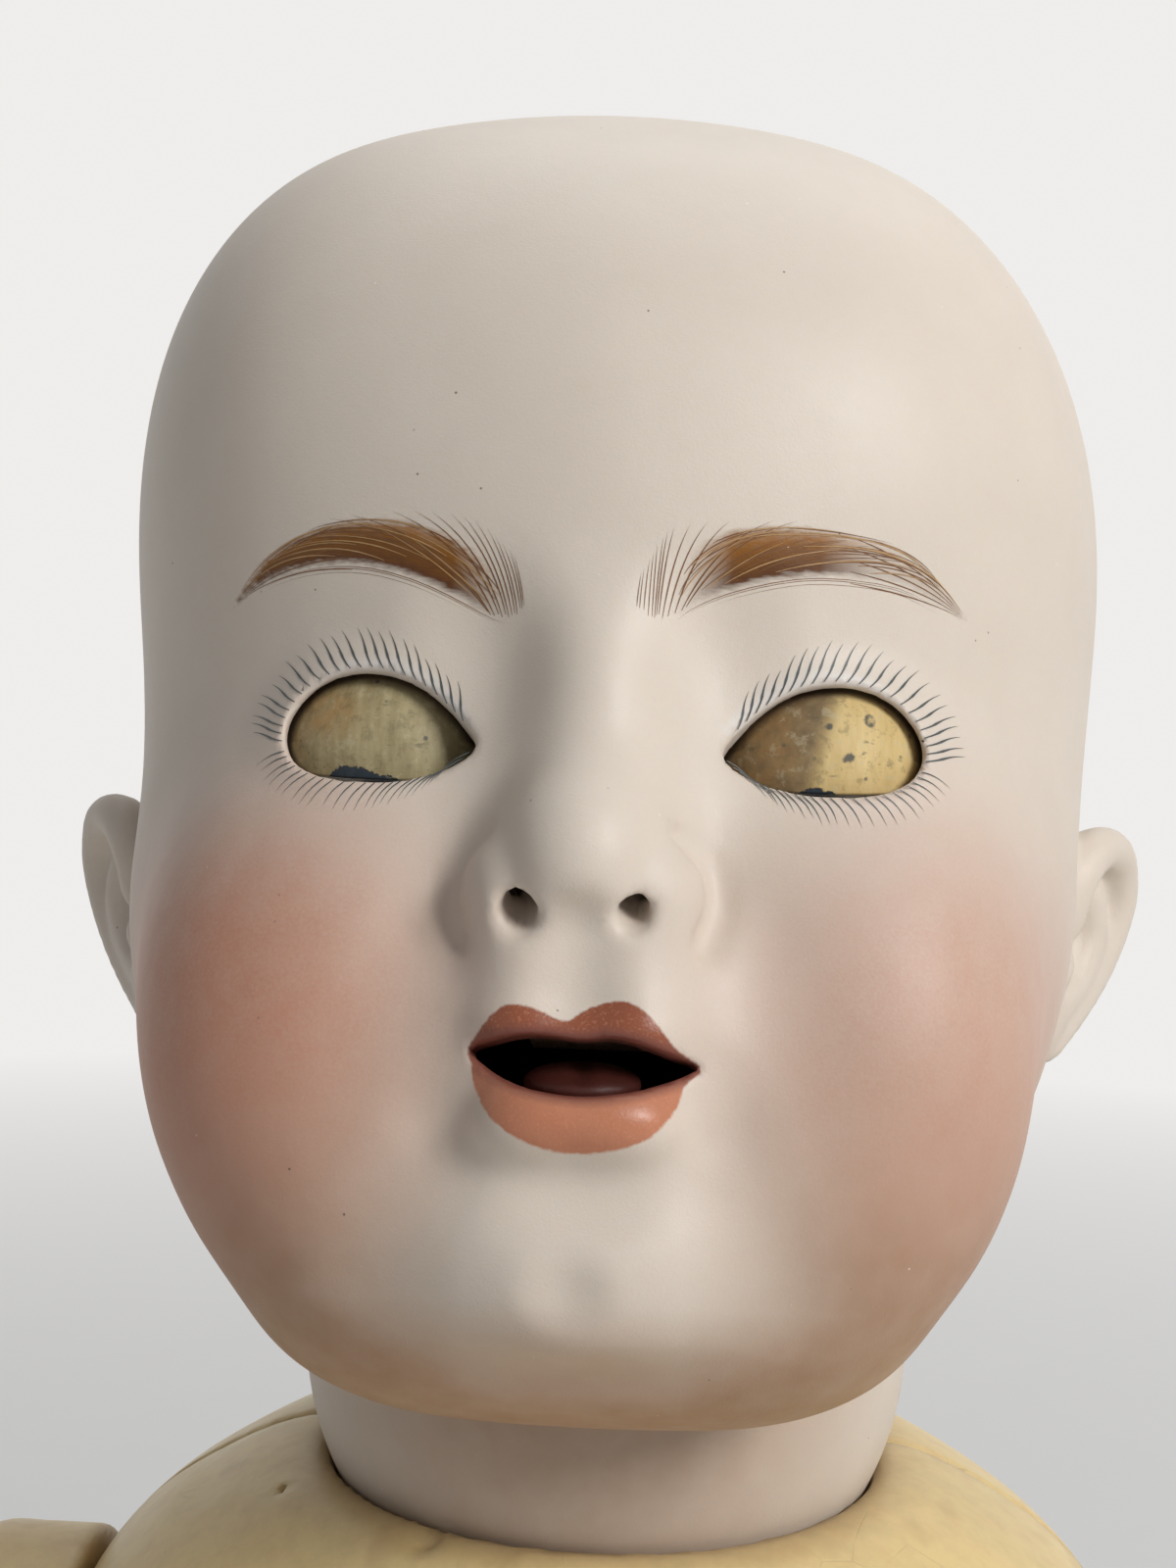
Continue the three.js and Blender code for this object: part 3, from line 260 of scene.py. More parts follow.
def slopeAt(gap, points, step):
    # how fast the distance from a form grows along each axis
    x, y, z = points.T
    return np.stack([
        gap(x + step, y, z) - gap(x - step, y, z),
        gap(x, y + step, z) - gap(x, y - step, z),
        gap(x, y, z + step) - gap(x, y, z - step),
    ], axis=-1) / (2 * step)


def surfaceNet(gap, low, high, cell):
    # a skin of quads over the form, with its points set on the form itself;
    # only blocks of cells near the form are worked out in full, some at a time
    block, reach, atOnce = 4, 6.5, 400000
    low = np.array(low, float)
    blocks = np.ceil((np.array(high) - low) / (block * cell)).astype(int)
    middles = [low[a] + (block * np.arange(blocks[a]) + (block - 1) / 2) * cell for a in range(3)]
    coarse = gap(*np.meshgrid(*middles, indexing="ij"))
    spread = np.ones((block, block, block))
    values = np.kron(coarse, spread)
    place = np.nonzero(np.kron(np.abs(coarse) < reach * cell, spread) > 0)
    for start in range(0, len(place[0]), atOnce):
        part = tuple(axis[start:start + atOnce] for axis in place)
        values[part] = gap(*(low[a] + part[a] * cell for a in range(3)))
    inside = values < 0
    corners = [(i, j, k) for i in (0, 1) for j in (0, 1) for k in (0, 1)]
    span = [size - 1 for size in values.shape]
    count = sum(inside[i:i + span[0], j:j + span[1], k:k + span[2]].astype(np.int8) for i, j, k in corners)
    active = (count > 0) & (count < 8)
    cells = np.array(np.nonzero(active)).T
    number = np.full(active.shape, -1, np.int64)
    number[active] = np.arange(len(cells))
    total = np.zeros((len(cells), 3))
    crossings = np.zeros(len(cells))
    for a in corners:
        for axis in range(3):
            if a[axis]:
                continue
            b = tuple(1 if i == axis else a[i] for i in range(3))
            va = values[tuple((cells + a).T)]
            vb = values[tuple((cells + b).T)]
            cross = (va < 0) != (vb < 0)
            share = np.where(cross, va / np.where(cross, va - vb, 1), 0)
            point = np.array(a) + share[:, None] * (np.array(b) - np.array(a))
            total += point * cross[:, None]
            crossings += cross
    points = low + (cells + total / crossings[:, None]) * cell
    quads = []
    for axis in range(3):
        one, two = (axis + 1) % 3, (axis + 2) % 3
        window = [slice(1, -1)] * 3
        window[axis] = slice(0, -1)
        here = inside[tuple(window)]
        window[axis] = slice(1, None)
        there = inside[tuple(window)]
        edge = np.array(np.nonzero(here != there)).T
        flip = there[tuple(edge.T)]
        edge[:, one] += 1
        edge[:, two] += 1
        ring = []
        for downOne, downTwo in ((1, 1), (0, 1), (0, 0), (1, 0)):
            cell4 = edge.copy()
            cell4[:, one] -= downOne
            cell4[:, two] -= downTwo
            ring.append(number[tuple(cell4.T)])
        ring = np.array(ring).T
        ring[flip] = ring[flip][:, ::-1]
        quads.append(ring)
    quads = np.concatenate(quads)
    for _ in range(3):
        slope = slopeAt(gap, points, 0.2 * cell)
        move = gap(*points.T) / ((slope**2).sum(1) + 1e-3)
        points = points - np.clip(move, -0.4 * cell, 0.4 * cell)[:, None] * slope
    return points, quads


def roomOf(name, margin):
    # the corners of the space round a solid, in millimetres
    low, high = (np.array(corner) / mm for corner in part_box(name))
    return low - margin, high + margin


def meshPiece(name, points, faces, body, slot, finish, replaces=(), fields=None):
    # points are in metres in the frame; faces is a list or an array of equal faces
    mesh = bpy.data.meshes.new(name)
    if isinstance(faces, np.ndarray):
        sides = faces.shape[1]
        mesh.vertices.add(len(points))
        mesh.vertices.foreach_set("co", np.asarray(points, np.float32).ravel())
        mesh.loops.add(faces.size)
        mesh.loops.foreach_set("vertex_index", faces.astype(np.int32).ravel())
        mesh.polygons.add(len(faces))
        mesh.polygons.foreach_set("loop_start", np.arange(0, faces.size, sides, dtype=np.int32))
        mesh.update(calc_edges=True)
        mesh.validate()
    else:
        mesh.from_pydata([tuple(point) for point in points], [], faces)
    for key, values in (fields or {}).items():
        mesh.attributes.new(key, "FLOAT", "POINT").data.foreach_set("value", np.asarray(values, np.float32))
    mesh.polygons.foreach_set("use_smooth", [True] * len(mesh.polygons))
    piece = bpy.data.objects.new(name, mesh)
    bpy.context.scene.collection.objects.link(piece)
    mesh.materials.append(finish.material)
    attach(piece, body)
    if replaces:
        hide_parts(*replaces)


# The head's own frame: the middle between its sides at the eyes' height

headFrame = {
    "neck": (0, 0, 211),  # the middle of the neck ball, in the doll's frame
    "neckBack": 22.8,
    "neckDrop": 56.8,
    "tilt": math.radians(17),
    "size": (118, 132, 160),
    "lean": math.radians(3.6),
    "leanEase": 20,
}
nodCos, nodSin = math.cos(headFrame["tilt"]), math.sin(headFrame["tilt"])
turned = np.array([[1, 0, 0], [0, nodCos, nodSin], [0, -nodSin, nodCos]])
neckInHead = np.array([0, headFrame["neckBack"], -headFrame["neckDrop"]])
headOrigin = np.array(headFrame["neck"]) - turned @ neckInHead


def headToDoll(points):
    return (np.asarray(points) @ turned.T + headOrigin) * mm


# Rounded masses of the head, place and size as shares of its width, depth and height, with the width of
# their blend. Those off the middle stand on both sides. The hollows after them are taken away.
headMasses = {
    "skull": ((0, 0.06, 0.215), (0.448, 0.492, 0.367), 0),
    "jaw": ((0, -0.023, -0.069), (0.476, 0.379, 0.301), 0.189),
    "forehead": ((0, -0.106, 0.225), (0.356, 0.333, 0.212), 0.13),
    "domeSide": ((0.226, 0.03, 0.257), (0.251, 0.4, 0.255), 0.16),
    "cheek": ((0.217, -0.255, -0.168), (0.182, 0.17, 0.184), 0.095),
    "noseBridge": ((0, -0.37, -0.012), (0.07, 0.082, 0.095), 0.085),
    "noseTip": ((0, -0.447, -0.086), (0.064, 0.062, 0.051), 0.06),
    "noseWing": ((0.061, -0.424, -0.104), (0.042, 0.05, 0.034), 0.016),
    "muzzle": ((0, -0.343, -0.205), (0.145, 0.102, 0.09), 0.09),
    "lipMound": ((0, -0.386, -0.178), (0.105, 0.061, 0.058), 0.09),
    "upperLip": ((0.038, -0.431, -0.189), (0.056, 0.033, 0.022), 0.022),
    "lowerLip": ((0.022, -0.432, -0.241), (0.064, 0.042, 0.028), 0.02),
    "jowl": ((0.15, -0.257, -0.29), (0.125, 0.13, 0.095), 0.1),
    "chin": ((0, -0.351, -0.318), (0.135, 0.092, 0.062), 0.065),
    "doubleChin": ((0, -0.205, -0.345), (0.255, 0.15, 0.075), 0.088),
}
headHollows = {
    "besideBridge": ((0.112, -0.476, 0.032), (0.044, 0.057, 0.055), 0.068),
    "fold": ((0.13, -0.474, -0.165), (0.02, 0.024, 0.06), 0.06),
    "underLip": ((0, -0.472, -0.292), (0.06, 0.023, 0.017), 0.042),
    "chinLine": ((0, -0.378, -0.413), (0.118, 0.022, 0.017), 0.055),
}
shellSizes = {
    "wall": 4,
    "neckRadius": 37.6,
    "neckWall": 4.5,
    "neckHole": 12,
    "crownTilt": math.radians(18),
    "crownDepth": 8.7,
    "pateWall": 2,
    "cell": 0.8,
    "rim": 0.7,  # how far the edges of the openings are rounded
}
eyeSizes = {
    "place": (21.95, -38.02, 0),
    "ball": 11.7,
    "lidInner": 12.0,
    "lidOuter": 12.8,
    "pocket": 13.2,
    "mound": 14.5,
    "moundBlend": 2.95,
    "closed": math.radians(52),
    "iris": 6,
    "pupil": 2.2,
    "lidTop": math.radians(75),
    "lidSpread": math.radians(80),
}
# The eye opening from its inner corner round over the top, across and up from the eye's middle
eyeOutline = [(-9.7, -1.7), (-7.6, 1.6), (-4.2, 4.5), (-0.4, 6.1), (3.6, 6.4), (7.2, 5.3), (9.8, 2.8), (10.5, 0),
              (9.1, -2.9), (5.9, -4.8), (1.2, -5.5), (-3.0, -5.2), (-6.9, -4.0)]
mouthOutline = [(-10.4, -32.3), (-7.8, -31.5), (-5.2, -31.1), (-2.8, -31.1), (0, -31.4), (2.8, -31.1), (5.2, -31.5),
                (8.0, -32.3), (10.8, -33.1), (8.0, -34.8), (4.2, -36.1), (0, -36.6), (-4.2, -36.1), (-7.8, -34.6)]
lipOutline = [(-10.7, -32.3), (-9.5, -30.7), (-7.7, -28.8), (-5.8, -28.4), (-3.7, -28.9), (-1.5, -29.8), (0.5, -28.5),
              (3.2, -27.7), (5.5, -28.3), (7.3, -30.0), (8.9, -31.8), (11.3, -33.2), (9.7, -35.0), (9.1, -37.1),
              (7.3, -39.6), (4.9, -41.0), (1.3, -41.7), (-2.2, -41.6), (-5.6, -40.5), (-8.2, -38.5), (-9.9, -35.6),
              (-10.2, -33.6)]
# Each brow from the nose outward: the edges of its wash, the roots and tips of the fan at its inner end,
# and how far from the middle of the face the wash fades
brows = {
    "right": {
        "top": [(-9.9, 13.8), (-12.4, 16.8), (-16.4, 19.3), (-20.8, 20.8), (-25.9, 21.3), (-30.8, 20.9),
                (-36.0, 19.1), (-39.7, 15.9)],
        "bottom": [(-9.8, 11.1), (-11.4, 11.8), (-15.0, 13.7), (-19.4, 15.6), (-24.5, 17.2), (-29.7, 17.8),
                   (-35.2, 17.4), (-39.7, 15.7)],
        "roots": [(-7.9, 12.2), (-8.8, 11.5), (-10.1, 11.6), (-11.6, 12.0)],
        "tips": [(-9.1, 17.1), (-10.5, 18.4), (-12.8, 20.3), (-16.0, 21.2), (-20.9, 21.9), (-28.6, 22.0)],
        "faded": 60,
    },
    "left": {
        "top": [(7.0, 14.4), (8.6, 17.6), (11.8, 19.7), (16.5, 20.9), (22.1, 21.1), (28.8, 20.9), (32.5, 19.2),
                (36.5, 16.2)],
        "bottom": [(7.4, 11.6), (8.9, 13.0), (11.9, 14.6), (16.7, 16.1), (22.2, 17.2), (28.9, 17.5), (32.6, 16.8),
                   (36.5, 15.8)],
        "roots": [(3.4, 11.5), (4.9, 11.0), (5.9, 11.2), (8.2, 12.6)],
        "tips": [(3.7, 15.2), (4.6, 16.9), (5.6, 18.7), (7.1, 20.0), (11.4, 20.9), (18.9, 21.8)],
        "faded": 27,
    },
}


def headForm(item, x, y, z):
    # one mass or hollow and the width of its blend, in millimetres
    at, size, blend = item
    wide = np.array(headFrame["size"])
    return ovalGap(x, y, z, at * wide, size * wide), blend * wide[0]


def unevenShift(x, y, z):
    # the nose and the sides of the face sit a little to the doll's right
    nose = 0.9 * bell(x / 15, (z + 14) / 13) * ramp(-y - 40, 14)
    sides = 1.3 * bell((z + 8) / 36) + 2.0 * (x > 0) * bell((z + 30) / 22)
    return nose + sides * ramp(np.abs(x) - 34, 18)


def headMassGap(x, y, z):
    rise = np.maximum(z, 0)
    lean = math.tan(headFrame["lean"]) * rise * rise / (rise + headFrame["leanEase"])
    across = np.hypot(x + lean + unevenShift(x, y, z), 1.6)
    skull, *others = headMasses.values()
    gap = headForm(skull, across, y, z)[0]
    for item in others:
        gap = softJoin(gap, *headForm(item, across, y, z))
    gap = softJoin(gap, ballGap(across, y, z, eyeSizes["place"], eyeSizes["mound"]), eyeSizes["moundBlend"])
    for item in headHollows.values():
        gap = softCut(gap, *headForm(item, across, y, z))
    return gap


earSizes = {
    "place": (58.5, 9.9, -9.4),
    "shift": 2.6,  # both toward the doll's right
    "flare": math.radians(28),
    "lean": math.radians(14),
    "plate": (8.6, 12.6, 3.2),
}


def earGap(x, y, z):
    # u runs back along the ear, v up, w out of its face
    sizes = earSizes
    dx, dy, dz = np.abs(x + sizes["shift"]) - sizes["place"][0], y - sizes["place"][1], z - sizes["place"][2]
    out = dx * math.cos(sizes["lean"]) - dz * math.sin(sizes["lean"])
    v = dx * math.sin(sizes["lean"]) + dz * math.cos(sizes["lean"])
    u = out * math.sin(sizes["flare"]) + dy * math.cos(sizes["flare"])
    w = out * math.cos(sizes["flare"]) - dy * math.sin(sizes["flare"])
    plate = ovalGap(u, v, w, (0.3, 3.4, -0.6), sizes["plate"])
    plate = softJoin(plate, ovalGap(u, v, w, (-3.2, -9.4, -0.6), (3.8, 6.6, 2.9)), 5)
    plate = softCut(plate, ovalGap(u, v, w, (-0.6, 2.6, 3.6), (5.6, 8.8, 3.4)), 2.4)
    rim = roundCurve([(-5.4, 1.6, 1.3), (-6.4, 7.2, 1.6), (-3.6, 12.6, 1.8), (2.4, 14.0, 1.7), (7.2, 10.6, 1.7),
                      (8.2, 4.8, 1.5), (6.6, -1.6, 1.2), (3.4, -7.6, 0.8), (-0.2, -12.6, 0.4)], 3)
    thick = np.interp(np.arange(len(rim)), (0, 9, 15, len(rim) - 1), (1.7, 2.6, 2.1, 1.3))
    for start, end, first, last in zip(rim, rim[1:], thick, thick[1:]):
        plate = softJoin(plate, rodGap(u, v, w, start, end, first, last), 1.3)
    ridge = roundCurve([(0.6, 8.4, 0.4), (3.6, 4.2, 1.0), (3.0, -1.6, 0.8), (0.0, -6.0, 0.6)], 3)
    for start, end in zip(ridge, ridge[1:]):
        plate = softJoin(plate, rodGap(u, v, w, start, end, 1.2, 1.2), 2.2)
    plate = softCut(plate, ballGap(u, v, w, (-2.4, -1.4, 3.2), 2.7), 1.6)
    return softJoin(plate, ovalGap(u, v, w, (-5.6, -3.2, 1.6), (1.8, 2.6, 2.0)), 1.6)


eyeCurve = roundCurve(eyeOutline, 5, closed=True)
mouthCurve = roundCurve(mouthOutline, 4, closed=True)
lipCurve = roundCurve(lipOutline, 4, closed=True)


# Soft creases on both sides of the face: points across, back and up, then the radius of the cut and the width
# of its blend
faceCreases = {
    "wing": ([(10.2, -58.4, -11.0), (12.6, -56.4, -13.6), (13.4, -55.9, -17.2), (12.0, -57.3, -21.4)], 0.9, 2.3),
    "mouthCorner": ([(12.6, -61.0, -33.4), (14.6, -60.0, -36.0), (15.0, -58.8, -39.0)], 1.0, 5),
}


def faceForms(x, y, z, gap):
    # finer forms round the nose and the mouth
    side = np.abs(x + 0.9 * ramp(z + 34, 14))
    for points, radius, blend in faceCreases.values():
        crease = chainGap(side, y, z, [(*point, radius) for point in roundCurve(points, 3)])
        gap = softCut(gap, crease, blend)
    gap = softCut(gap, rodGap(x, y, z, (-0.4, -64.8, -22.6), (-0.4, -64.6, -27.4), 2.6, 3.2), 4)
    return softCut(gap, ballGap(x, y, z, (-0.4, -60.0, -55.4), 2.6), 4)


def openingGap(x, y, z):
    middle, depth, _ = eyeSizes["place"]
    out = np.abs(x) - middle
    near = (np.abs(out) < 13) & (np.abs(z) < 9) & (y < -34)
    return within(lambda at: np.maximum(outlineGap(out[at], z[at], eyeCurve), y[at] - depth), near, 3)


def mouthGap(x, y, z):
    near = (np.abs(x) < 14) & (np.abs(z + 33.5) < 6) & (y < -42)
    return within(lambda at: np.maximum(outlineGap(x[at], z[at], mouthCurve), y[at] + 46), near, 3)


def nostrilGap(x, y, z):
    right = rodGap(x, y, z, (-6.3, -62.4, -20.2), (-5.6, -55.0, -13.0), 1.85, 1.3)
    return np.minimum(right, rodGap(x, y, z, (4.5, -62.4, -19.9), (4.3, -55.0, -13.0), 1.55, 1.2))


def crownGap(y, z):
    skullAt = [share * long for share, long in zip(headMasses["skull"][0], headFrame["size"])]
    high = headMasses["skull"][1][2] * headFrame["size"][2] - shellSizes["crownDepth"]
    up = (y - skullAt[1]) * math.sin(shellSizes["crownTilt"]) + (z - skullAt[2]) * math.cos(shellSizes["crownTilt"])
    return high - up  # negative above the cut


def headSkinGap(x, y, z):
    # the outside of the head with no opening
    gap = headMassGap(x, y, z)
    front = (y < -44) & (np.abs(x) < 24) & (z < -10)
    gap = np.where(front, faceForms(x, y, z, gap), gap)
    near = (np.abs(x) > 48) & (np.abs(z + 9.4) < 24) & (np.abs(y - 10) < 24)
    ears = within(lambda at: earGap(x[at], y[at], z[at]), near, 8)
    gap = softJoin(gap, ears, 2.6)
    return softJoin(gap, ballGap(x, y, z, neckInHead, shellSizes["neckRadius"]), 1.5)


def headGap(x, y, z):
    bore = ballGap(x, y, z, neckInHead, shellSizes["neckRadius"] - shellSizes["neckWall"])
    lining = np.minimum(headMassGap(x, y, z) + shellSizes["wall"], bore)
    gap = np.maximum(headSkinGap(x, y, z), -lining)
    hole = np.maximum(np.hypot(x, y - neckInHead[1]) - shellSizes["neckHole"], z - neckInHead[2])
    gap = softCut(gap, hole, shellSizes["rim"])
    across = np.abs(x)
    gap = np.maximum(gap, -ballGap(across, y, z, eyeSizes["place"], eyeSizes["pocket"]))
    gap = softCut(gap, openingGap(x, y, z), shellSizes["rim"])
    gap = softCut(gap, mouthGap(x, y, z), shellSizes["rim"])
    gap = softCut(gap, nostrilGap(x, y, z), 1.2)
    return softCut(gap, crownGap(y, z), shellSizes["rim"])


# Bisque

def bisqueFinish():
    finish = Finish("bisque", Roughness=0.42, Specular_IOR_Level=0.32, Subsurface_Weight=0.1,
                    Subsurface_Scale=1.5 * mm, Subsurface_Radius=(1.0, 0.5, 0.3))
    finish.color(finish.mix((0.605, 0.53, 0.45), (0.655, 0.58, 0.5), finish.grain(9, 3)))
    tint = finish.grain(0.35, 2).over(0.5, 0.3)
    finish.coat((0.55, 0.45, 0.36), tint * 0.12)
    blush = finish.field("blush") * (0.8 + 0.3 * finish.grain(4, 3))
    # warm tan over the lower cheeks, the jaw and under the chin: partly the bisque's own warmer tone, partly painted
    # shade where the light from above falls away
    finish.coat((0.31, 0.185, 0.105), finish.field("tan") * (0.75 + 0.4 * finish.grain(5, 3)))
    finish.coat((0.46, 0.225, 0.15), (blush * (0.9 + 0.2 * tint)).clamped())
    # painted highlight: a pale band along the upper rim of each eye opening, where the rim catches the light
    finish.coat((0.66, 0.67, 0.68), finish.field("paintedLidHighlight") * 0.35)
    hairs = finish.grain(0.5, 3, stretch=(0.22, 1, 1.5))
    wash = finish.field("browWash") + 0.9 * hairs - 0.5
    rise = finish.field("browRise")
    golden = finish.mix((0.07, 0.019, 0.0005), (0.25, 0.092, 0.003), rise * 1.3 + 0.5 * hairs - 0.35)
    strong = (1.45 - 0.7 * rise + 0.3 * hairs - 0.15).clamped()
    finish.coat(golden, wash.over(0, 0.4) * finish.field("browShare") * strong)
    lipEdge = finish.field("lips") + 0.35 * finish.grain(0.7, 2) - 0.17
    lipShade = finish.mix((0.5, 0.19, 0.095), (0.4, 0.13, 0.06), finish.grain(2.5, 3))
    # the upper lip darker than the lower: partly its deeper paint, partly painted shade on the lip that faces down
    lipShade = finish.mix(lipShade, (0.225, 0.045, 0.009), finish.field("upperLip"))
    lipShade = finish.mix(lipShade, (0.58, 0.24, 0.13), finish.grain(0.3, 2).over(0.62, 0.08) * 0.3)
    # dark red at and inside the mouth opening: partly the lip paint, partly painted shade in the opening
    lipShade = finish.mix((0.17, 0.035, 0.02), lipShade, finish.field("mouthEdge").over(0.75, 0.55))
    lipMask = lipEdge.over(0, 0.12)
    finish.coat(lipShade, lipMask * 0.94)
    finish.coat((0.22, 0.055, 0.03), finish.field("nostril").over(0.1, 0.5) * 0.9)
    # painted shade: the inside of the shell, seen through the eyes and the mouth, darkened
    finish.coat((0.36, 0.30, 0.24), finish.field("lining").over(0, 0.3) * 0.9)
    speck = (0.055 - finish.cells(2.4)).over(0, 0.006)
    rare = finish.grain(5, 1).over(0.64, 0.02)
    finish.coat((0.09, 0.06, 0.04), speck * rare * 0.8)
    fleck = (0.05 - finish.cells(1.9, 0.9)).over(0, 0.006)
    seldom = finish.grain(4, 1).over(0.66, 0.02)
    finish.coat((0.86, 0.84, 0.8), fleck * seldom * 0.7)
    finish.rough(0.43 - 0.13 * lipMask + 0.1 * finish.grain(1.5, 2))
    finish.bump(finish.grain(0.28, 3) + 0.6 * finish.grain(1.1, 2), 0.05, 0.55)
    return finish


def headFields(points):
    x, y, z = points.T
    front = y < -30

    def inPlane(u, curve, near, plain):
        return within(lambda at: outlineGap(u[at], z[at], curve), front & near, plain)

    lips = -inPlane(x, lipCurve, np.abs(z + 34) < 12, 5)
    mouthEdge = inPlane(x, mouthCurve, np.abs(z + 34) < 12, 5)
    eye = np.abs(x) - eyeSizes["place"][0]
    rim = inPlane(eye, eyeCurve, (np.abs(eye) < 18) & (np.abs(z) < 14), 9)
    wide = np.interp(eye, (-10.5, -6, 0, 4, 8), (0.9, 1.35, 1.5, 1.1, 0.3))
    upper = ramp(z + 1.2 + 0.1 * eye, 1.5) * ramp(9.5 - eye, 3)
    # the band just above each eye opening where the painted highlight lies
    paintedLidHighlight = ramp(rim + 0.2, 0.5) * ramp(wide + 0.35 - rim, 0.7) * upper
    browWash, browRise, browShare = np.full(x.shape, -5.0), np.zeros(x.shape), np.ones(x.shape)
    for brow in brows.values():
        curve = roundCurve(brow["top"] + brow["bottom"][::-1], 3, closed=True)
        mid = brow["top"][4][0]
        near = front & (np.abs(x - mid) < 21) & (np.abs(z - 17) < 10)
        browWash = np.maximum(browWash, -inPlane(x, curve, near, 5))
        top, bottom = (np.array(sorted(brow[edge])) for edge in ("top", "bottom"))
        low = np.interp(x[near], bottom[:, 0], bottom[:, 1])
        high = np.interp(x[near], top[:, 0], top[:, 1])
        browRise[near] = (z[near] - low) / (high - low + 0.3)
        inner = min(abs(spot[0]) for spot in brow["bottom"])
        browShare[near] = np.clip((brow["faded"] - np.abs(x[near])) / 8 + 0.3, 0.25, 1)
        browShare[near] *= np.clip((np.abs(x[near]) - inner - 0.3) / 5, 0.1, 1)
    cheek = np.hypot((np.abs(x) - 37) / 25, (z + 29) / 25)
    blush = np.exp(-1.3 * cheek**3) * ramp(-y + 10, 30)
    blush = blush * np.where(x > 0, 0.7, 1)
    # the tan grows towards the jaw and under the chin: partly the bisque's tone, partly painted shade
    tan = ramp(-z - 26, 24) * ramp(np.abs(x) - 10, 18) + ramp(-z - 55, 11)
    tan = 0.9 * np.clip(tan, 0, 1) * ramp(-y + 8, 25)
    chin = 0.2 * bell(x / 26, (z + 66) / 9) * (y < -20)
    # the inside of the shell, which the finish darkens as painted shade
    bore = ballGap(x, y, z, neckInHead, shellSizes["neckRadius"] - shellSizes["neckWall"])
    lining = 0.5 - np.abs(np.minimum(headMassGap(x, y, z) + shellSizes["wall"], bore))
    return {
        "lips": lips,
        "mouthEdge": mouthEdge,
        "paintedLidHighlight": paintedLidHighlight,
        "browWash": browWash,
        "browRise": np.clip(browRise, 0, 1),
        "browShare": browShare,
        "blush": np.clip(blush + chin, 0, 1),
        "tan": tan,
        # where the upper lip is painted darker, partly for its paint and partly as painted shade
        "upperLip": ramp(z + 35.5, 3),
        "nostril": -nostrilGap(x, y, z) - 0.3,
        "lining": lining,
    }


bisque = bisqueFinish()
headLow, headHigh = (-75, -72, -94), (71, 76, 96)
headPoints, headFaces = surfaceNet(headGap, headLow, headHigh, shellSizes["cell"])
meshPiece("bisqueHead", headToDoll(headPoints), headFaces, "head", "bisque", bisque, ["bisque_head"],
          headFields(headPoints))
print("head:", len(headPoints), "points")


# Cardboard pate

def cardFinish():
    finish = Finish("pateCard", Roughness=0.85)
    fibre = finish.grain(0.8, 4, stretch=(1, 0.3, 1))
    finish.color(finish.mix((0.34, 0.235, 0.135), (0.47, 0.345, 0.21), fibre))
    finish.coat((0.2, 0.13, 0.07), finish.grain(11, 3).over(0.6, 0.15) * 0.5)
    finish.bump(fibre, 0.2, 0.5)
    return finish


def pateGap(x, y, z):
    skin = headMassGap(x, y, z)
    gap = np.maximum(skin, -(skin + shellSizes["pateWall"]))
    return softCut(gap, -(crownGap(y, z) + 0.35), 0.4)


patePoints, pateFaces = surfaceNet(pateGap, (-52, -40, 60), (50, 76, 96), 0.8)
meshPiece("crownPate", headToDoll(patePoints), pateFaces, "head", "pate_card", cardFinish(), ["crown_pate"])


# Painted strokes, laid on the bisque as thin ribbons

strokeSizes = {"lift": 0.035, "browWidth": 0.095}


def onFace(across, up):
    # the depth at which the face lies behind points of its front view
    near, far = np.full(across.shape, -74.0), np.full(across.shape, -20.0)
    for _ in range(26):
        half = (near + far) / 2
        inside = headSkinGap(across, half, up) < 0
        far = np.where(inside, half, far)
        near = np.where(inside, near, half)
    return np.stack([across, far, up], axis=-1)


def ribbons(strokes, lift):
    # each stroke is a list of (across, up, half width)
    points, faces = [], []
    flat = np.array([point for stroke in strokes for point in stroke])
    surface = onFace(flat[:, 0], flat[:, 1])
    normals = slopeAt(headSkinGap, surface, 0.3)
    normals /= np.linalg.norm(normals, axis=-1, keepdims=True)
    start = 0
    for size in map(len, strokes):
        part = slice(start, start + size)
        line = surface[part] + normals[part] * lift
        side = np.cross(np.gradient(line, axis=0), normals[part])
        side /= np.linalg.norm(side, axis=1, keepdims=True) + 1e-9
        half = flat[part, 2:]
        first = len(points)
        for left, right in zip(line - side * half, line + side * half):
            points += [left, right]
        faces += [(first + 2 * i, first + 2 * i + 1, first + 2 * i + 3, first + 2 * i + 2) for i in range(size - 1)]
        start += size
    return headToDoll(np.array(points)), faces


def bentStroke(start, bend, end, width, swell=0.35):
    # a brush stroke that swells to its full width and fades to a point
    stroke = []
    for step in range(15):
        share = step / 14
        at = (1 - share) ** 2 * start + 2 * share * (1 - share) * bend + share**2 * end
        full = min(1, 0.35 + share / swell) * (1 - share**2.2)
        stroke.append((at[0], at[1], width * max(full, 0.05)))
    return stroke


def strokeThrough(points, width):
    start, middle, end = points
    return bentStroke(start, 2 * middle - (start + end) / 2, end, width)


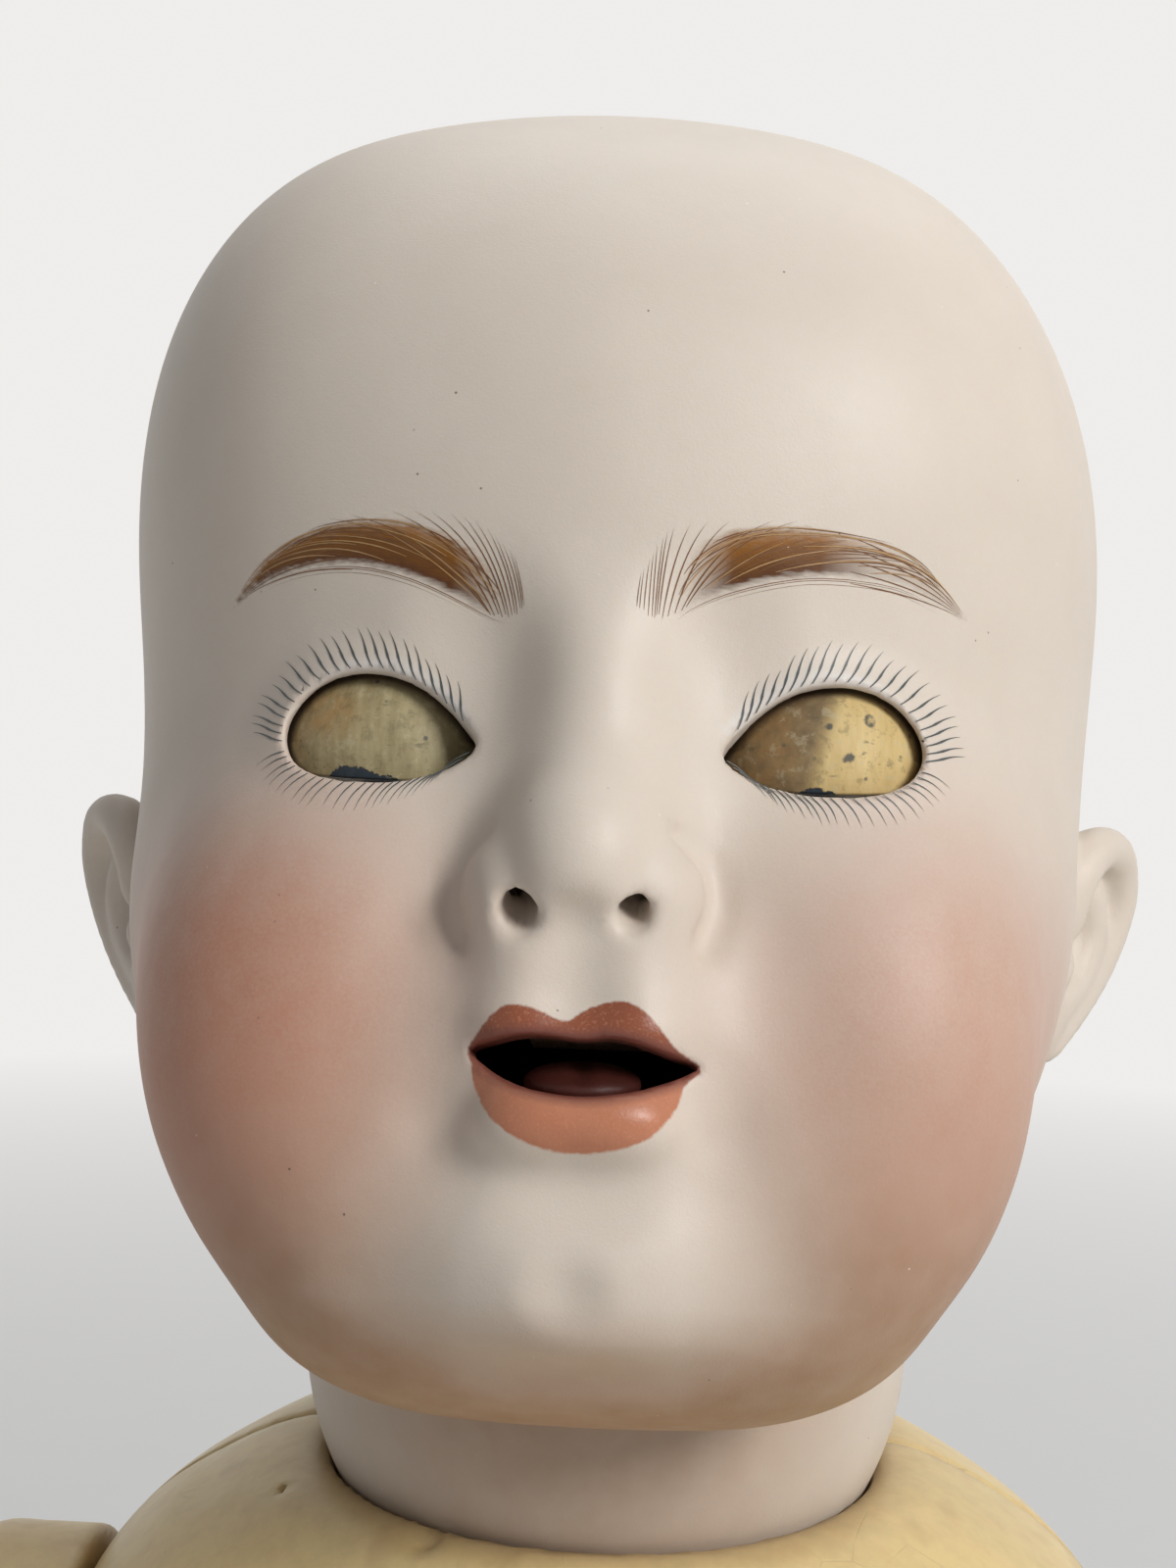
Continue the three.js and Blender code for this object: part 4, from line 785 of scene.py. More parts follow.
def browStrokes(brow):
    dark, pale = [], []
    top, bottom = roundCurve(brow["top"], 12), roundCurve(brow["bottom"], 12)
    last = len(top) - 1
    width = strokeSizes["browWidth"]

    def place(along, rise):
        at = min(max(along, 0), 1) * last
        i = min(int(at), last - 1)
        share = at - i
        low = bottom[i] * (1 - share) + bottom[i + 1] * share
        high = top[i] * (1 - share) + top[i + 1] * share
        return low * (1 - rise) + high * rise

    roots, tips = roundCurve(brow["roots"], 8), roundCurve(brow["tips"], 8)
    for k in range(13):  # the fan, each stroke bending over outward
        share = k / 12
        root = roots[round(share * (len(roots) - 1))] + (0, 0.6 * (rng.random() - 0.5))
        tip = tips[round(share * (len(tips) - 1))]
        bend = np.array((root[0] * (0.78 - 0.1 * share) + tip[0] * (0.22 + 0.1 * share),
                         root[1] * (0.5 - 0.2 * share) + tip[1] * (0.5 + 0.2 * share)))
        dark.append(bentStroke(root, bend, tip, width * (0.55 + 0.45 * share)))
    for k in range(26):  # along the wash
        begin = 0.04 + 0.62 * k / 25
        rise = 0.1 + 0.75 * rng.random()
        reach = 0.26 + 0.16 * rng.random()
        points = [place(begin + reach * share, rise + (1.04 - rise) * share**1.3 * 0.8) for share in (0, 0.5, 1)]
        (pale if k % 3 == 1 else dark).append(strokeThrough(points, width * (0.5 + 0.4 * rng.random())))
    for k in range(6):  # over the upper edge
        begin = 0.24 + 0.09 * k
        points = [place(begin + 0.3 * share, 0.93 + 0.035 * (k % 3) + 0.1 * share) for share in (0, 0.5, 1)]
        (pale if k % 2 else dark).append(strokeThrough(points, width * 0.75))
    for k in range(5):  # the tail
        points = [place(0.62 + 0.38 * share, -0.2 + 0.3 * k - (0.1 + 0.12 * k) * share) for share in (0, 0.5, 1)]
        dark.append(strokeThrough(points, width * 0.7))
    for k, (drop, fine) in enumerate(((0.42, 0.42), (0.62, 0.3), (1.0, 0.2))):  # under the lower edge
        lows = [place(0.12 * k + share * (0.86 - 0.1 * k), 0) - (0, drop) for share in np.linspace(0, 1, 15)]
        swell = [max(math.sin(math.pi * i / 14), 0.1) for i in range(15)]
        dark.append([(*at, width * fine * full) for at, full in zip(lows, swell)])
    return dark, pale


# The two rows of painted lashes, from the inner corner of the eye to the outer one: how far each lash leans
# outward in degrees, its width along its length, and where on the eye's outline the row begins and ends
lashRows = {
    "upper": {
        "leans": ((0.0, 0.12, 0.4, 0.62, 0.8, 1.0), (12, 19, 25, 40, 52, 66)),
        "widths": ((0, 0.3, 0.42, 0.6, 1), (0.4, 0.7, 1, 0.62, 0.06)),
        "count": 23, "begin": 0.06, "run": 0.5, "up": 1, "reach": 4.9, "first": 0.86, "width": 0.135,
        "sway": -0.09, "bends": 2,
    },
    "lower": {
        "leans": ((0.0, 0.25, 0.5, 0.75, 1.0), (52, 41, 32, 44, 72)),
        "widths": ((0, 0.25, 1), (0.75, 1, 0.1)),
        "count": 24, "begin": 0.985, "run": -0.4, "up": -1, "reach": 3.5, "first": 1, "width": 0.07,
        "sway": 0.3, "bends": 1,
    },
}


def lashStrokes(row):
    curve = roundCurve(eyeOutline, 24, closed=True)
    strokes = []
    for side in (-1, 1):
        for k in range(row["count"]):
            share = k / (row["count"] - 1)
            root = curve[int((row["begin"] + row["run"] * share) * len(curve)) % len(curve)]
            lean = math.radians(np.interp(share, *row["leans"]) + rng.uniform(-2, 2))
            way = np.array((math.sin(lean), row["up"] * math.cos(lean)))
            across = np.array((-way[1], way[0]))
            reach = row["reach"] * (0.9 + 0.16 * rng.random())
            if share < 0.15:
                reach *= row["first"]
            stroke = []
            for part in np.arange(13) / 12:
                sway = row["sway"] * math.sin(row["bends"] * math.pi * part)
                at = root + way * (0.25 + reach * part) + across * sway
                width = row["width"] * np.interp(part, *row["widths"])
                stroke.append((side * (at[0] + eyeSizes["place"][0]), at[1], width))
            strokes.append(stroke)
    return strokes


def paintFinish(name, dark, light, size):
    finish = Finish(name, Roughness=0.5)
    finish.color(finish.mix(dark, light, finish.grain(size, 2)))
    return finish


browPaint = paintFinish("browPaint", (0.085, 0.026, 0.001), (0.18, 0.066, 0.004), 1.2)
browPale = paintFinish("browGaps", (0.3, 0.145, 0.035), (0.44, 0.28, 0.13), 1.2)
for word, brow in brows.items():
    dark, pale = browStrokes(brow)
    meshPiece(word + "BrowStrokes", *ribbons(dark, strokeSizes["lift"]), "head", "bisque", browPaint)
    meshPiece(word + "BrowGaps", *ribbons(pale, strokeSizes["lift"] * 1.6), "head", "bisque", browPale)
lashPaint = paintFinish("lashPaint", (0.028, 0.033, 0.032), (0.075, 0.085, 0.083), 0.8)
for word, row in lashRows.items():
    meshPiece(word + "Lashes", *ribbons(lashStrokes(row), strokeSizes["lift"] * 1.5), "head", "bisque", lashPaint)
print("brows and lashes")


# Sleep eyes

def roundPatch(radius, turns, rises):
    # points of a ball round the origin, turned about its upright axis after the rise
    turn, rise = np.meshgrid(turns, rises)
    return np.stack([
        radius * np.sin(turn),
        -radius * np.cos(turn) * np.cos(rise),
        radius * np.cos(turn) * np.sin(rise),
    ], axis=-1).reshape(-1, 3)


def doubleSkin(rows, columns):
    # the faces of a curved plate with an outer and an inner skin of rows by columns points
    skins = np.arange(2 * rows * columns).reshape(2, rows, columns)
    faces, rims = [], []
    for skin, way in zip(skins, (1, -1)):
        quads = np.stack([skin[:-1, :-1], skin[:-1, 1:], skin[1:, 1:], skin[1:, :-1]], axis=-1)
        faces.append(quads.reshape(-1, 4)[:, ::way])
        rims.append(np.concatenate([skin[0, :-1], skin[:-1, -1], skin[-1, :0:-1], skin[:0:-1, 0]]))
    outer, inner = rims
    faces.append(np.stack([inner, np.roll(inner, -1), np.roll(outer, -1), outer], axis=-1))
    return np.concatenate(faces)


# The worn low edge of each lid's wax, across from the eye's middle and up
wornEdges = {
    "right": [(-12, -6.5), (-5, -5.6), (-1, -4.4), (2, -3.5), (4.5, -3.3), (6, -4.6), (7, -6), (12, -7)],
    "left": [(-12, -6.5), (-3.6, -5.9), (-1.5, -4.4), (-0.3, -3.9), (2, -4.6), (5, -4.7), (7.5, -5.4), (12, -7)],
}
# Dark spots on the left lid: across from the eye's middle, up, and radius
lidSpots = [(0.9, 2.2, 0.42), (3.0, -0.9, 0.5), (4.4, -0.3, 0.22), (2.4, -1.2, 0.3), (8.2, -0.4, 0.2),
            (-3.6, 0.2, 0.22)]


def lidFinish(name, low, high, dark):
    finish = Finish(name, Roughness=0.55, Specular_IOR_Level=0.35)
    streak = finish.grain(1.2, 4, 0.6, stretch=(1, 0.25, 0.2))
    finish.color(finish.mix(low, high, streak.over(0.5, 0.25)))
    finish.coat(dark, finish.field("dull") * (0.65 + 0.5 * finish.grain(1.6, 3)))
    finish.coat((0.42, 0.215, 0.06), finish.field("warm") * finish.grain(2.4, 3).over(0.42, 0.2) * 0.7)
    mottle = finish.grain(1.5, 5, 0.72)
    finish.coat((0.13, 0.105, 0.05), mottle.over(0.58, 0.05) * 0.4)
    finish.coat((0.5, 0.44, 0.29), (1 - mottle).over(0.6, 0.04) * 0.35)
    scratch = finish.grain(0.35, 2, stretch=(0.12, 0.5, 0.5)).over(0.66, 0.03)
    finish.coat((0.1, 0.085, 0.05), scratch * finish.grain(2, 1).over(0.55, 0.05) * 0.6)
    speck = (0.13 - finish.cells(1.9)).over(0, 0.03)
    finish.coat((0.05, 0.055, 0.05), speck * finish.grain(3, 1).over(0.55, 0.05) * 0.8)
    spot = finish.field("spot") + 0.7 * mottle - 0.35
    finish.coat((0.045, 0.05, 0.048), spot.over(0.05, 0.12) * 0.88)
    strip = 1 - (finish.field("aboveEdge") + 1.3 * finish.grain(0.7, 4, 0.6) - 0.65).over(0, 0.07)
    blue = finish.mix((0.008, 0.013, 0.02), (0.028, 0.042, 0.055), finish.grain(0.5, 3, stretch=(2, 0.3, 0.3)))
    finish.coat(blue, strip)
    # painted shadow: a dark band along the lid just under the rim of the eye opening
    finish.coat((0.035, 0.018, 0.007), finish.field("lidRimShadow").over(0.55, 0.42) * 0.92)
    finish.rough(0.5 + 0.2 * finish.grain(0.6, 3))
    finish.bump(finish.grain(0.5, 3) + 0.5 * mottle - 1.2 * strip, 0.07, 0.55)
    return finish


def eyelid(word, finish):
    side = 1 if word == "left" else -1
    low = math.asin(eyeSizes["iris"] / eyeSizes["ball"]) - eyeSizes["closed"]
    rises = np.linspace(low, eyeSizes["lidTop"], 84)
    turns = np.linspace(-eyeSizes["lidSpread"], eyeSizes["lidSpread"], 110)
    points = np.concatenate([roundPatch(eyeSizes[skin], turns, rises) for skin in ("lidOuter", "lidInner")])
    out, up = side * points[:, 0], points[:, 2]
    edge = np.interp(out, *np.array(wornEdges[word]).T)
    rim = outlineGap(out, up, eyeCurve)
    spots = np.full(out.shape, -3.0)
    if word == "left":
        for spotOut, spotUp, radius in lidSpots:
            spots = np.maximum(spots, radius - np.hypot(out - spotOut, up - spotUp))
        ring = 0.24 - np.abs(np.hypot((out - 5.0) / 0.8, up - 3.3) - 0.55)
        spots = np.maximum(spots, ring)
        dull = np.clip((0.2 - out + 0.25 * up) / 2.2 + 0.5, 0, 1)
        warm = ramp(-out - 1, 3) * 0.5
    else:
        dull = ramp(-3 - out, 6) * 0.6
        warm = bell((out - 6.6) / 3.6, (up - 2.6) / 3.0)
    fields = {
        "aboveEdge": up - edge,
        # how near the rim of the eye opening, for its painted shadow
        "lidRimShadow": 1 + rim / np.where(up > 0, 1.25, 0.7),
        "spot": spots,
        "dull": dull,
        "warm": warm,
    }
    place = points + np.array(eyeSizes["place"]) * (side, 1, 1)
    meshPiece(word + "Eyelid", headToDoll(place), doubleSkin(len(rises), len(turns)), "eyes", "lid_wax", finish,
              [word + "_eyelid"], fields)


def glassFinish():
    finish = Finish("eyeGlass", Roughness=0.08, Coat_Weight=0.6, Coat_Roughness=0.04)
    ray = finish.grain(0.7, 4, 0.7)
    iris = finish.mix((0.035, 0.055, 0.085), (0.14, 0.19, 0.25), ray)
    white = finish.mix((0.60, 0.62, 0.62), (0.68, 0.69, 0.67), finish.grain(3, 2))
    out = finish.field("fromIris")
    finish.color(finish.mix(iris, white, out.over(eyeSizes["iris"], 0.25)))
    finish.coat((0.012, 0.014, 0.02), 1 - out.over(eyeSizes["pupil"], 0.15))
    finish.bump(ray, 0.02, 0.2)
    return finish


def eyeball(word, finish):
    # a blown glass shell, open behind, with its iris turned down as the eye sleeps
    side = 1 if word == "left" else -1
    ball, wall, hole = eyeSizes["ball"], 1.5, 6.0
    count = 64
    profile = [(ball, angle) for angle in np.linspace(0, math.pi - math.asin(hole / ball), 48)]
    profile += [(ball - wall, angle) for angle in np.linspace(math.pi - math.asin(hole / (ball - wall)), 0, 40)]
    points, faces = [], []
    for radius, angle in profile[1:-1]:
        wide, deep = radius * math.sin(angle), -radius * math.cos(angle)
        for turn in 2 * math.pi * np.arange(count) / count:
            points.append((wide * math.cos(turn), deep, wide * math.sin(turn)))
    rings = len(profile) - 2
    for ring in range(rings - 1):
        for k in range(count):
            here, after = ring * count + k, ring * count + (k + 1) % count
            faces.append((here, after, after + count, here + count))
    points += [(0, -ball, 0), (0, wall - ball, 0)]
    for k in range(count):
        after = (k + 1) % count
        faces.append((len(points) - 2, after, k))
        faces.append((len(points) - 1, (rings - 1) * count + k, (rings - 1) * count + after))
    points = np.array(points)
    down = eyeSizes["closed"]
    gaze = np.array((0, -math.cos(down), -math.sin(down)))
    along = points @ gaze
    fromIris = np.where(along > 0, np.linalg.norm(points - along[:, None] * gaze, axis=1), 12)
    place = points + np.array(eyeSizes["place"]) * (side, 1, 1)
    meshPiece(word + "Eyeball", headToDoll(place), faces, "eyes", "eye_glass", finish, [word + "_eyeball"],
              {"fromIris": fromIris})


# the right lid's wax is given darker colours than the left's: partly a real difference between the lids, partly
# painted shade on the side away from the key light
lidWax = {
    "right": lidFinish("rightLidWax", (0.235, 0.19, 0.095), (0.40, 0.34, 0.19), (0.15, 0.12, 0.06)),
    "left": lidFinish("leftLidWax", (0.50, 0.35, 0.135), (0.66, 0.50, 0.235), (0.15, 0.10, 0.052)),
}
eyeGlass = glassFinish()
for word in ("left", "right"):
    eyelid(word, lidWax[word])
    eyeball(word, eyeGlass)
print("sleep eyes")


# Composition body

bodySizes = {
    "halfWidth": 70,
    "halfDepth": 50,
    "height": 196,
    "wall": 4,
    "power": 2.25,
    "seam": 5,
    "seamGap": 0.3,
    "cup": 38,
    "cupHole": 20.5,
    "armMiddle": (0, 159),
    "armFlat": 65,
    "armHub": 21,
    "legMiddle": (-8, 31),
    "legFlat": 40,
    "legHub": 28,
    "gap": 0.4,
    "stringHole": 7,
    "navel": (0, -57.6, 70.6),
    "chips": (((-18.4, -33.6, 196.6), 2.2), ((-9.6, -37.4, 197.0), 2.0), ((-3.5, -38.6, 197.2), 2.1)),  # in the rim
    "cell": 1.5,
}
# Level sections: height, half width, front and back as shares
bodySections = [
    (0, 0.40, 0.48, 0.56), (0.015, 0.49, 0.64, 0.72), (0.05, 0.555, 0.82, 0.88), (0.12, 0.58, 0.95, 0.98),
    (0.22, 0.60, 1.05, 1.00), (0.30, 0.65, 1.12, 0.97), (0.36, 0.79, 1.14, 0.93), (0.43, 0.885, 1.12, 0.88),
    (0.52, 0.90, 1.04, 0.83), (0.61, 0.90, 0.95, 0.82), (0.70, 0.94, 0.91, 0.84), (0.79, 0.985, 0.90, 0.88),
    (0.86, 0.965, 0.89, 0.90), (0.91, 0.91, 0.87, 0.89), (0.95, 0.81, 0.84, 0.86), (0.98, 0.68, 0.79, 0.81),
    (1, 0.56, 0.76, 0.76),
]
sectionCurve = roundCurve(bodySections, 6)


def trunkGap(x, y, z):
    level = z / bodySizes["height"]
    wide, front, back = (np.interp(level, sectionCurve[:, 0], sectionCurve[:, k]) for k in (1, 2, 3))
    power = bodySizes["power"]
    deep = np.where(y < 0, front, back) * bodySizes["halfDepth"]
    share = ((np.abs(x) / (wide * bodySizes["halfWidth"])) ** power + (np.abs(y) / deep) ** power) ** (1 / power)
    near = np.hypot(x, y)
    return near - near / np.maximum(share, 0.001)


def discGap(x, y, z, middle, start, end, radius):
    # a round disc across the body from start to end
    return np.maximum(np.maximum(start - x, x - end), np.hypot(y - middle[0], z - middle[1]) - radius)


def bodyGap(x, y, z):
    sizes = bodySizes
    across = np.abs(x)
    trunk = trunkGap(x, y, z)
    skin = softCut(softCut(trunk, sizes["height"] - z, 2.4), z, 3)
    skin = softCut(skin, ovalGap(across, y, z, (23, -52, 132), (15, 5, 2.2)), 6)  # under the breast
    skin = softJoin(skin, ovalGap(across, y, z, (17, 38, 34), (16, 13, 22)), 8)  # behind
    skin = softCut(skin, ovalGap(x, y, z, (0, 58, 30), (2.2, 8, 24)), 5)
    skin = softCut(skin, ovalGap(x, y, z, sizes["navel"], (3.2, 2.2, 3.2)), 2.6)
    armPad = discGap(across, y, z, sizes["armMiddle"], sizes["armFlat"] - sizes["wall"], 80, sizes["armHub"] + 4)
    legPad = discGap(across, y, z, sizes["legMiddle"], sizes["legFlat"] - sizes["wall"], 80, sizes["legHub"] + 4)
    ball = ballGap(x, y, z, headFrame["neck"], sizes["cup"])
    solid = np.minimum(np.minimum(ball - sizes["wall"], armPad), legPad)
    roof = trunkGap(x, y, z + 1.5 * sizes["wall"])  # keeps the shoulders thick where they slope
    lining = np.maximum(np.maximum(np.maximum(trunk + sizes["wall"], roof), sizes["wall"] - z), -solid)
    gap = np.maximum(skin, -lining)
    gap = softCut(gap, ball, 0.7)
    gap = softCut(gap, np.maximum(np.hypot(x, y) - sizes["cupHole"], 150 - z), 0.7)
    for part in ("arm", "leg"):
        middle, flat = sizes[part + "Middle"], sizes[part + "Flat"]
        seat = discGap(across, y, z, middle, flat, 90, sizes[part + "Hub"] + sizes["gap"])
        gap = softCut(gap, seat, 0.8)
        hole = discGap(across, y, z, middle, flat - 9, flat + 3, sizes["stringHole"])
        gap = softCut(gap, hole, 0.7)
    for chip in sizes["chips"]:
        gap = softCut(gap, ballGap(x, y, z, *chip), 1.0)
    return gap


def bodyHalf(front):
    def gap(x, y, z):
        sizes = bodySizes
        past = (y - sizes["seam"]) * (1 if front else -1) + sizes["seamGap"] / 2
        return 0.7 * softCut(bodyGap(x, y, z), -past, 0.5)
    return gap


def compositionFinish():
    finish = Finish("composition", Roughness=0.42, Coat_Weight=0.3, Coat_Roughness=0.35)
    finish.color(finish.mix((0.69, 0.505, 0.22), (0.76, 0.59, 0.28), finish.grain(22, 4)))
    finish.coat((0.55, 0.44, 0.21), finish.grain(38, 3).over(0.56, 0.12) * 0.45)
    finish.coat((0.62, 0.37, 0.17), finish.grain(5, 4, 0.6).over(0.62, 0.1) * 0.3)
    finish.coat((0.64, 0.33, 0.22), finish.field("flush") * 0.4)
    grime = finish.field("worn") + 0.9 * finish.grain(3.5, 4, 0.65) - 0.45
    finish.coat((0.30, 0.20, 0.11), grime.over(0.35, 0.4) * 0.5)
    chip = finish.field("worn") * 0.8 + finish.grain(2.6, 2, 0.5) - 0.5
    finish.coat((0.66, 0.6, 0.5), chip.over(0.93, 0.03))
    stain = finish.grain(9, 2).over(0.7, 0.1)
    finish.coat((0.42, 0.26, 0.11), stain * 0.5)
    craze = finish.node("TexVoronoi", {"feature": "DISTANCE_TO_EDGE"},
                        {"Vector": finish.place, "Scale": 1 / (11 * mm)})
    crack = (0.006 - Num(craze.outputs["Distance"])).over(0, 0.004) * finish.grain(16, 2).over(0.6, 0.06)
    finish.coat((0.42, 0.30, 0.16), crack * 0.4)
    speck = (0.04 - finish.cells(3.1)).over(0, 0.01) * finish.grain(7, 1).over(0.7, 0.03)
    finish.coat((0.2, 0.12, 0.06), speck * 0.4)
    finish.rough(0.36 + 0.2 * finish.grain(6, 3) + 0.15 * grime.clamped())
    height = finish.grain(7, 3) + 0.12 * finish.grain(0.5, 2) - 0.5 * crack
    finish.bump(height, 0.35, 0.4)
    return finish


def bodyFields(points):
    x, y, z = points.T
    ball = np.abs(ballGap(x, y, z, headFrame["neck"], bodySizes["cup"]))
    rim = bell(np.maximum(bodySizes["height"] - z, 0) / 2.6) * np.exp(-ball / 3.5)
    worn = rim + 0.3 * np.exp(-np.abs(y - bodySizes["seam"]) / 0.8) + 0.45 * np.exp(-np.maximum(z, 0) / 5)
    for part in ("arm", "leg"):
        middle, flat = bodySizes[part + "Middle"], bodySizes[part + "Flat"]
        ring = np.abs(np.hypot(y - middle[0], z - middle[1]) - bodySizes[part + "Hub"])
        worn = worn + 0.7 * np.exp(-ring / 2.5) * (np.abs(x) > flat - 6)
    navel = np.exp(-((x**2 + (z - bodySizes["navel"][2]) ** 2) / 60)) * (y < 0)
    return {"worn": worn, "flush": navel}


composition = compositionFinish()
for word, front in (("front", True), ("back", False)):
    points, faces = surfaceNet(bodyHalf(front), *roomOf("torso_" + word, 3), bodySizes["cell"])
    meshPiece(word + "Torso", points * mm, faces, "torso", "composition", composition, ["torso_" + word],
              bodyFields(points))
    print(word, "torso:", len(points), "points")


# Bent limbs

limbSizes = {
    "armReach": 90,
    "armGirth": 22.5,
    "hand": (25, 23, 14),
    "finger": 18,
    "fingerRadius": 3.6,
    "legReach": 140,
    "legGirth": 30,
    "foot": (27, 52, 21),
    "toe": 4,
    "plug": 8.3,
    "plugRoom": 10.3,
    "cell": 1.2,
}
# The middle of each limb from its flat, as shares of its reach, with its radius as a share of its girth
armPath = [(0.15, 0, 0.01, 0.84), (0.27, -0.03, -0.22, 0.86), (0.34, -0.12, -0.46, 0.80), (0.33, -0.36, -0.50, 0.78),
           (0.26, -0.60, -0.42, 0.54)]
legPath = [(0.10, 0.02, 0, 0.84), (0.25, -0.24, -0.01, 0.90), (0.29, -0.50, -0.05, 0.74), (0.19, -0.72, -0.09, 0.72),
           (0.04, -0.84, -0.11, 0.50)]


def unit(vector):
    return np.array(vector, float) / np.linalg.norm(vector)


def hoopGap(x, y, z, at, along, radius, thick):
    along = unit(along)
    dx, dy, dz = x - at[0], y - at[1], z - at[2]
    height = dx * along[0] + dy * along[1] + dz * along[2]
    out = np.sqrt(np.maximum(dx * dx + dy * dy + dz * dz - height * height, 0))
    return np.hypot(out - radius, height) - thick


def hubGap(x, y, z, part):
    radius = bodySizes[part + "Hub"]
    middle = bodySizes[part + "Middle"]
    rise = x - bodySizes[part + "Flat"] - bodySizes["gap"]
    out = np.hypot(y - middle[0], z - middle[1])
    low = radius / 3
    dome = ovalGap(rise, out, 0 * out, (low, 0, 0), (0.95 * radius - low, radius, radius))
    hub = np.minimum(dome, np.maximum(out - radius, rise - low))
    return softCut(hub, rise, 1.2)


def limbChain(path, part):
    reach, girth = limbSizes[part + "Reach"], limbSizes[part + "Girth"]
    start = np.array((bodySizes[part + "Flat"] + bodySizes["gap"], *bodySizes[part + "Middle"]))
    fine = roundCurve(path, 6)
    return [(*(start + row[:3] * reach), row[3] * girth) for row in fine]


def ownFrame(x, y, z, at, along, up):
    # across, along and up of a hand or foot set at a place
    alongUnit = unit(along)
    upUnit = unit(np.array(up) - alongUnit * np.dot(up, alongUnit))
    acrossUnit = np.cross(alongUnit, upUnit)
    dx, dy, dz = x - at[0], y - at[1], z - at[2]
    return [dx * way[0] + dy * way[1] + dz * way[2] for way in (acrossUnit, alongUnit, upUnit)]


def handGap(u, v, w):
    wide, long, thick = limbSizes["hand"]
    finger, radius = limbSizes["finger"], limbSizes["fingerRadius"]
    gap = ovalGap(u, v, w, (0, 0, 0), (wide / 2, 0.62 * long, thick / 2))
    for k, share in enumerate((0.9, 1.06, 1, 0.82)):
        across, reach = (k - 1.5) * wide / 4.3, share * finger
        digit = chainGap(u, v, w, [
            (0.8 * across, long / 4, 0, radius),
            (across, long / 2 + 0.3 * reach, -0.06 * reach, 0.98 * radius),
            (1.1 * across, long / 2 + 0.7 * reach, -0.2 * reach, 0.9 * radius),
            (1.12 * across, long / 2 + 0.95 * reach, -0.42 * reach, 0.72 * radius),
        ])
        digit = softCut(digit, ovalGap(u, v, w, (1.12 * across, long / 2 + 1.04 * reach, -0.3 * reach + 2.7),
                                       (1.5, 2.6, 0.6)), 0.8)  # nail
        gap = softJoin(gap, digit, 0.9)
        gap = softCut(gap, ballGap(u, v, w, (0.9 * across, 0.42 * long, 6.6), 1.1), 3)  # knuckle dimple
    thumb = chainGap(u, v, w, [
        (-0.2 * wide, -0.1 * long, 0, 1.25 * radius),
        (-0.475 * wide, 0.16 * long, -0.1 * finger, 1.2 * radius),
        (-0.56 * wide, 0.42 * long, -0.24 * finger, radius),
        (-0.54 * wide, 0.6 * long, -0.34 * finger, 0.75 * radius),
    ])
    return softJoin(gap, thumb, 1.5)


def armGap(x, y, z):
    chain = limbChain(armPath, "arm")
    tube = chainGap(x, y, z, chain)
    wrist, before = np.array(chain[-1][:3]), np.array(chain[-7][:3])
    along = unit(wrist - before)
    u, v, w = ownFrame(x, y, z, wrist + along * limbSizes["hand"][1] / 2, along, (0.55, 0, 0.83))
    tube = softJoin(tube, handGap(u, v, w), 3)
    tube = softCut(tube, hoopGap(x, y, z, wrist - along * 3, along, 14.6, 1.0), 4)  # wrist crease
    elbow = np.array(chain[16][:3])
    tube = softCut(tube, ballGap(x, y, z, elbow + (-6, -2, 19.5), 3.0), 6)
    flat = bodySizes["armFlat"] + bodySizes["gap"]
    tube = softCut(tube, x - flat, 1.2)
    gap = softJoin(tube, hubGap(x, y, z, "arm"), 6 * np.clip((x - 70) / 8, 0.03, 1))
    room = discGap(x, y, z, bodySizes["armMiddle"], 0, flat + limbSizes["plugRoom"], limbSizes["plug"])
    return softCut(gap, room, 0.5)


def footGap(u, v, w):
    wide, long, thick = limbSizes["foot"]
    flat = thick / wide
    gap = chainGap(u, v, w / flat, [
        (0, -0.34 * long, 0, 0.34 * wide),
        (0, -0.1 * long, 0, 0.46 * wide),
        (0, 0.18 * long, 0.02 * long / flat, 0.5 * wide),
        (0, 0.42 * long, 0.04 * long / flat, 0.4 * wide),
    ]) * flat
    for k, share in enumerate((1.5, 1.1, 1, 0.92, 0.8)):
        radius = share * limbSizes["toe"]
        across, reach = (k - 2) / 2 * 0.4 * wide, (0.5 - 0.05 * k) * long
        toe = ovalGap(u, v, w, (across, reach, 0.04 * long), (0.8 * radius, 1.1 * radius, 0.9 * radius))
        toe = softCut(toe, ovalGap(u, v, w, (across, reach + 0.75 * radius, 0.04 * long + 0.95 * radius),
                                   (0.42 * radius, 0.5 * radius, 0.25 * radius)), 0.7)
        gap = softJoin(gap, toe, 1.0)
    return gap


def legGap(x, y, z):
    chain = limbChain(legPath, "leg")
    tube = chainGap(x, y, z, chain)
    ankle = np.array(chain[-1][:3])
    toeward = np.array((-0.25, -0.45, 0.86))
    place = ankle + toeward * 0.2 * limbSizes["foot"][1]
    u, v, w = ownFrame(x, y, z, place, toeward, (0.45, 0.8, 0.4))
    tube = softJoin(tube, footGap(u, v, w), 4)
    knee = np.array(chain[12][:3])
    tube = softCut(tube, ballGap(x, y, z, knee + (-3, 0, 24.5), 3.2), 6)
    tube = softCut(tube, hoopGap(x, y, z, chain[20][:3], np.subtract(chain[21][:3], chain[19][:3]), 22.4, 1.0), 4)
    flat = bodySizes["legFlat"] + bodySizes["gap"]
    tube = softCut(tube, x - flat, 1.2)
    gap = softJoin(tube, hubGap(x, y, z, "leg"), 7 * np.clip((x - 44) / 10, 0.03, 1))
    room = discGap(x, y, z, bodySizes["legMiddle"], 0, flat + limbSizes["plugRoom"], limbSizes["plug"])
    return softCut(softCut(gap, room, 0.5), z, 2)


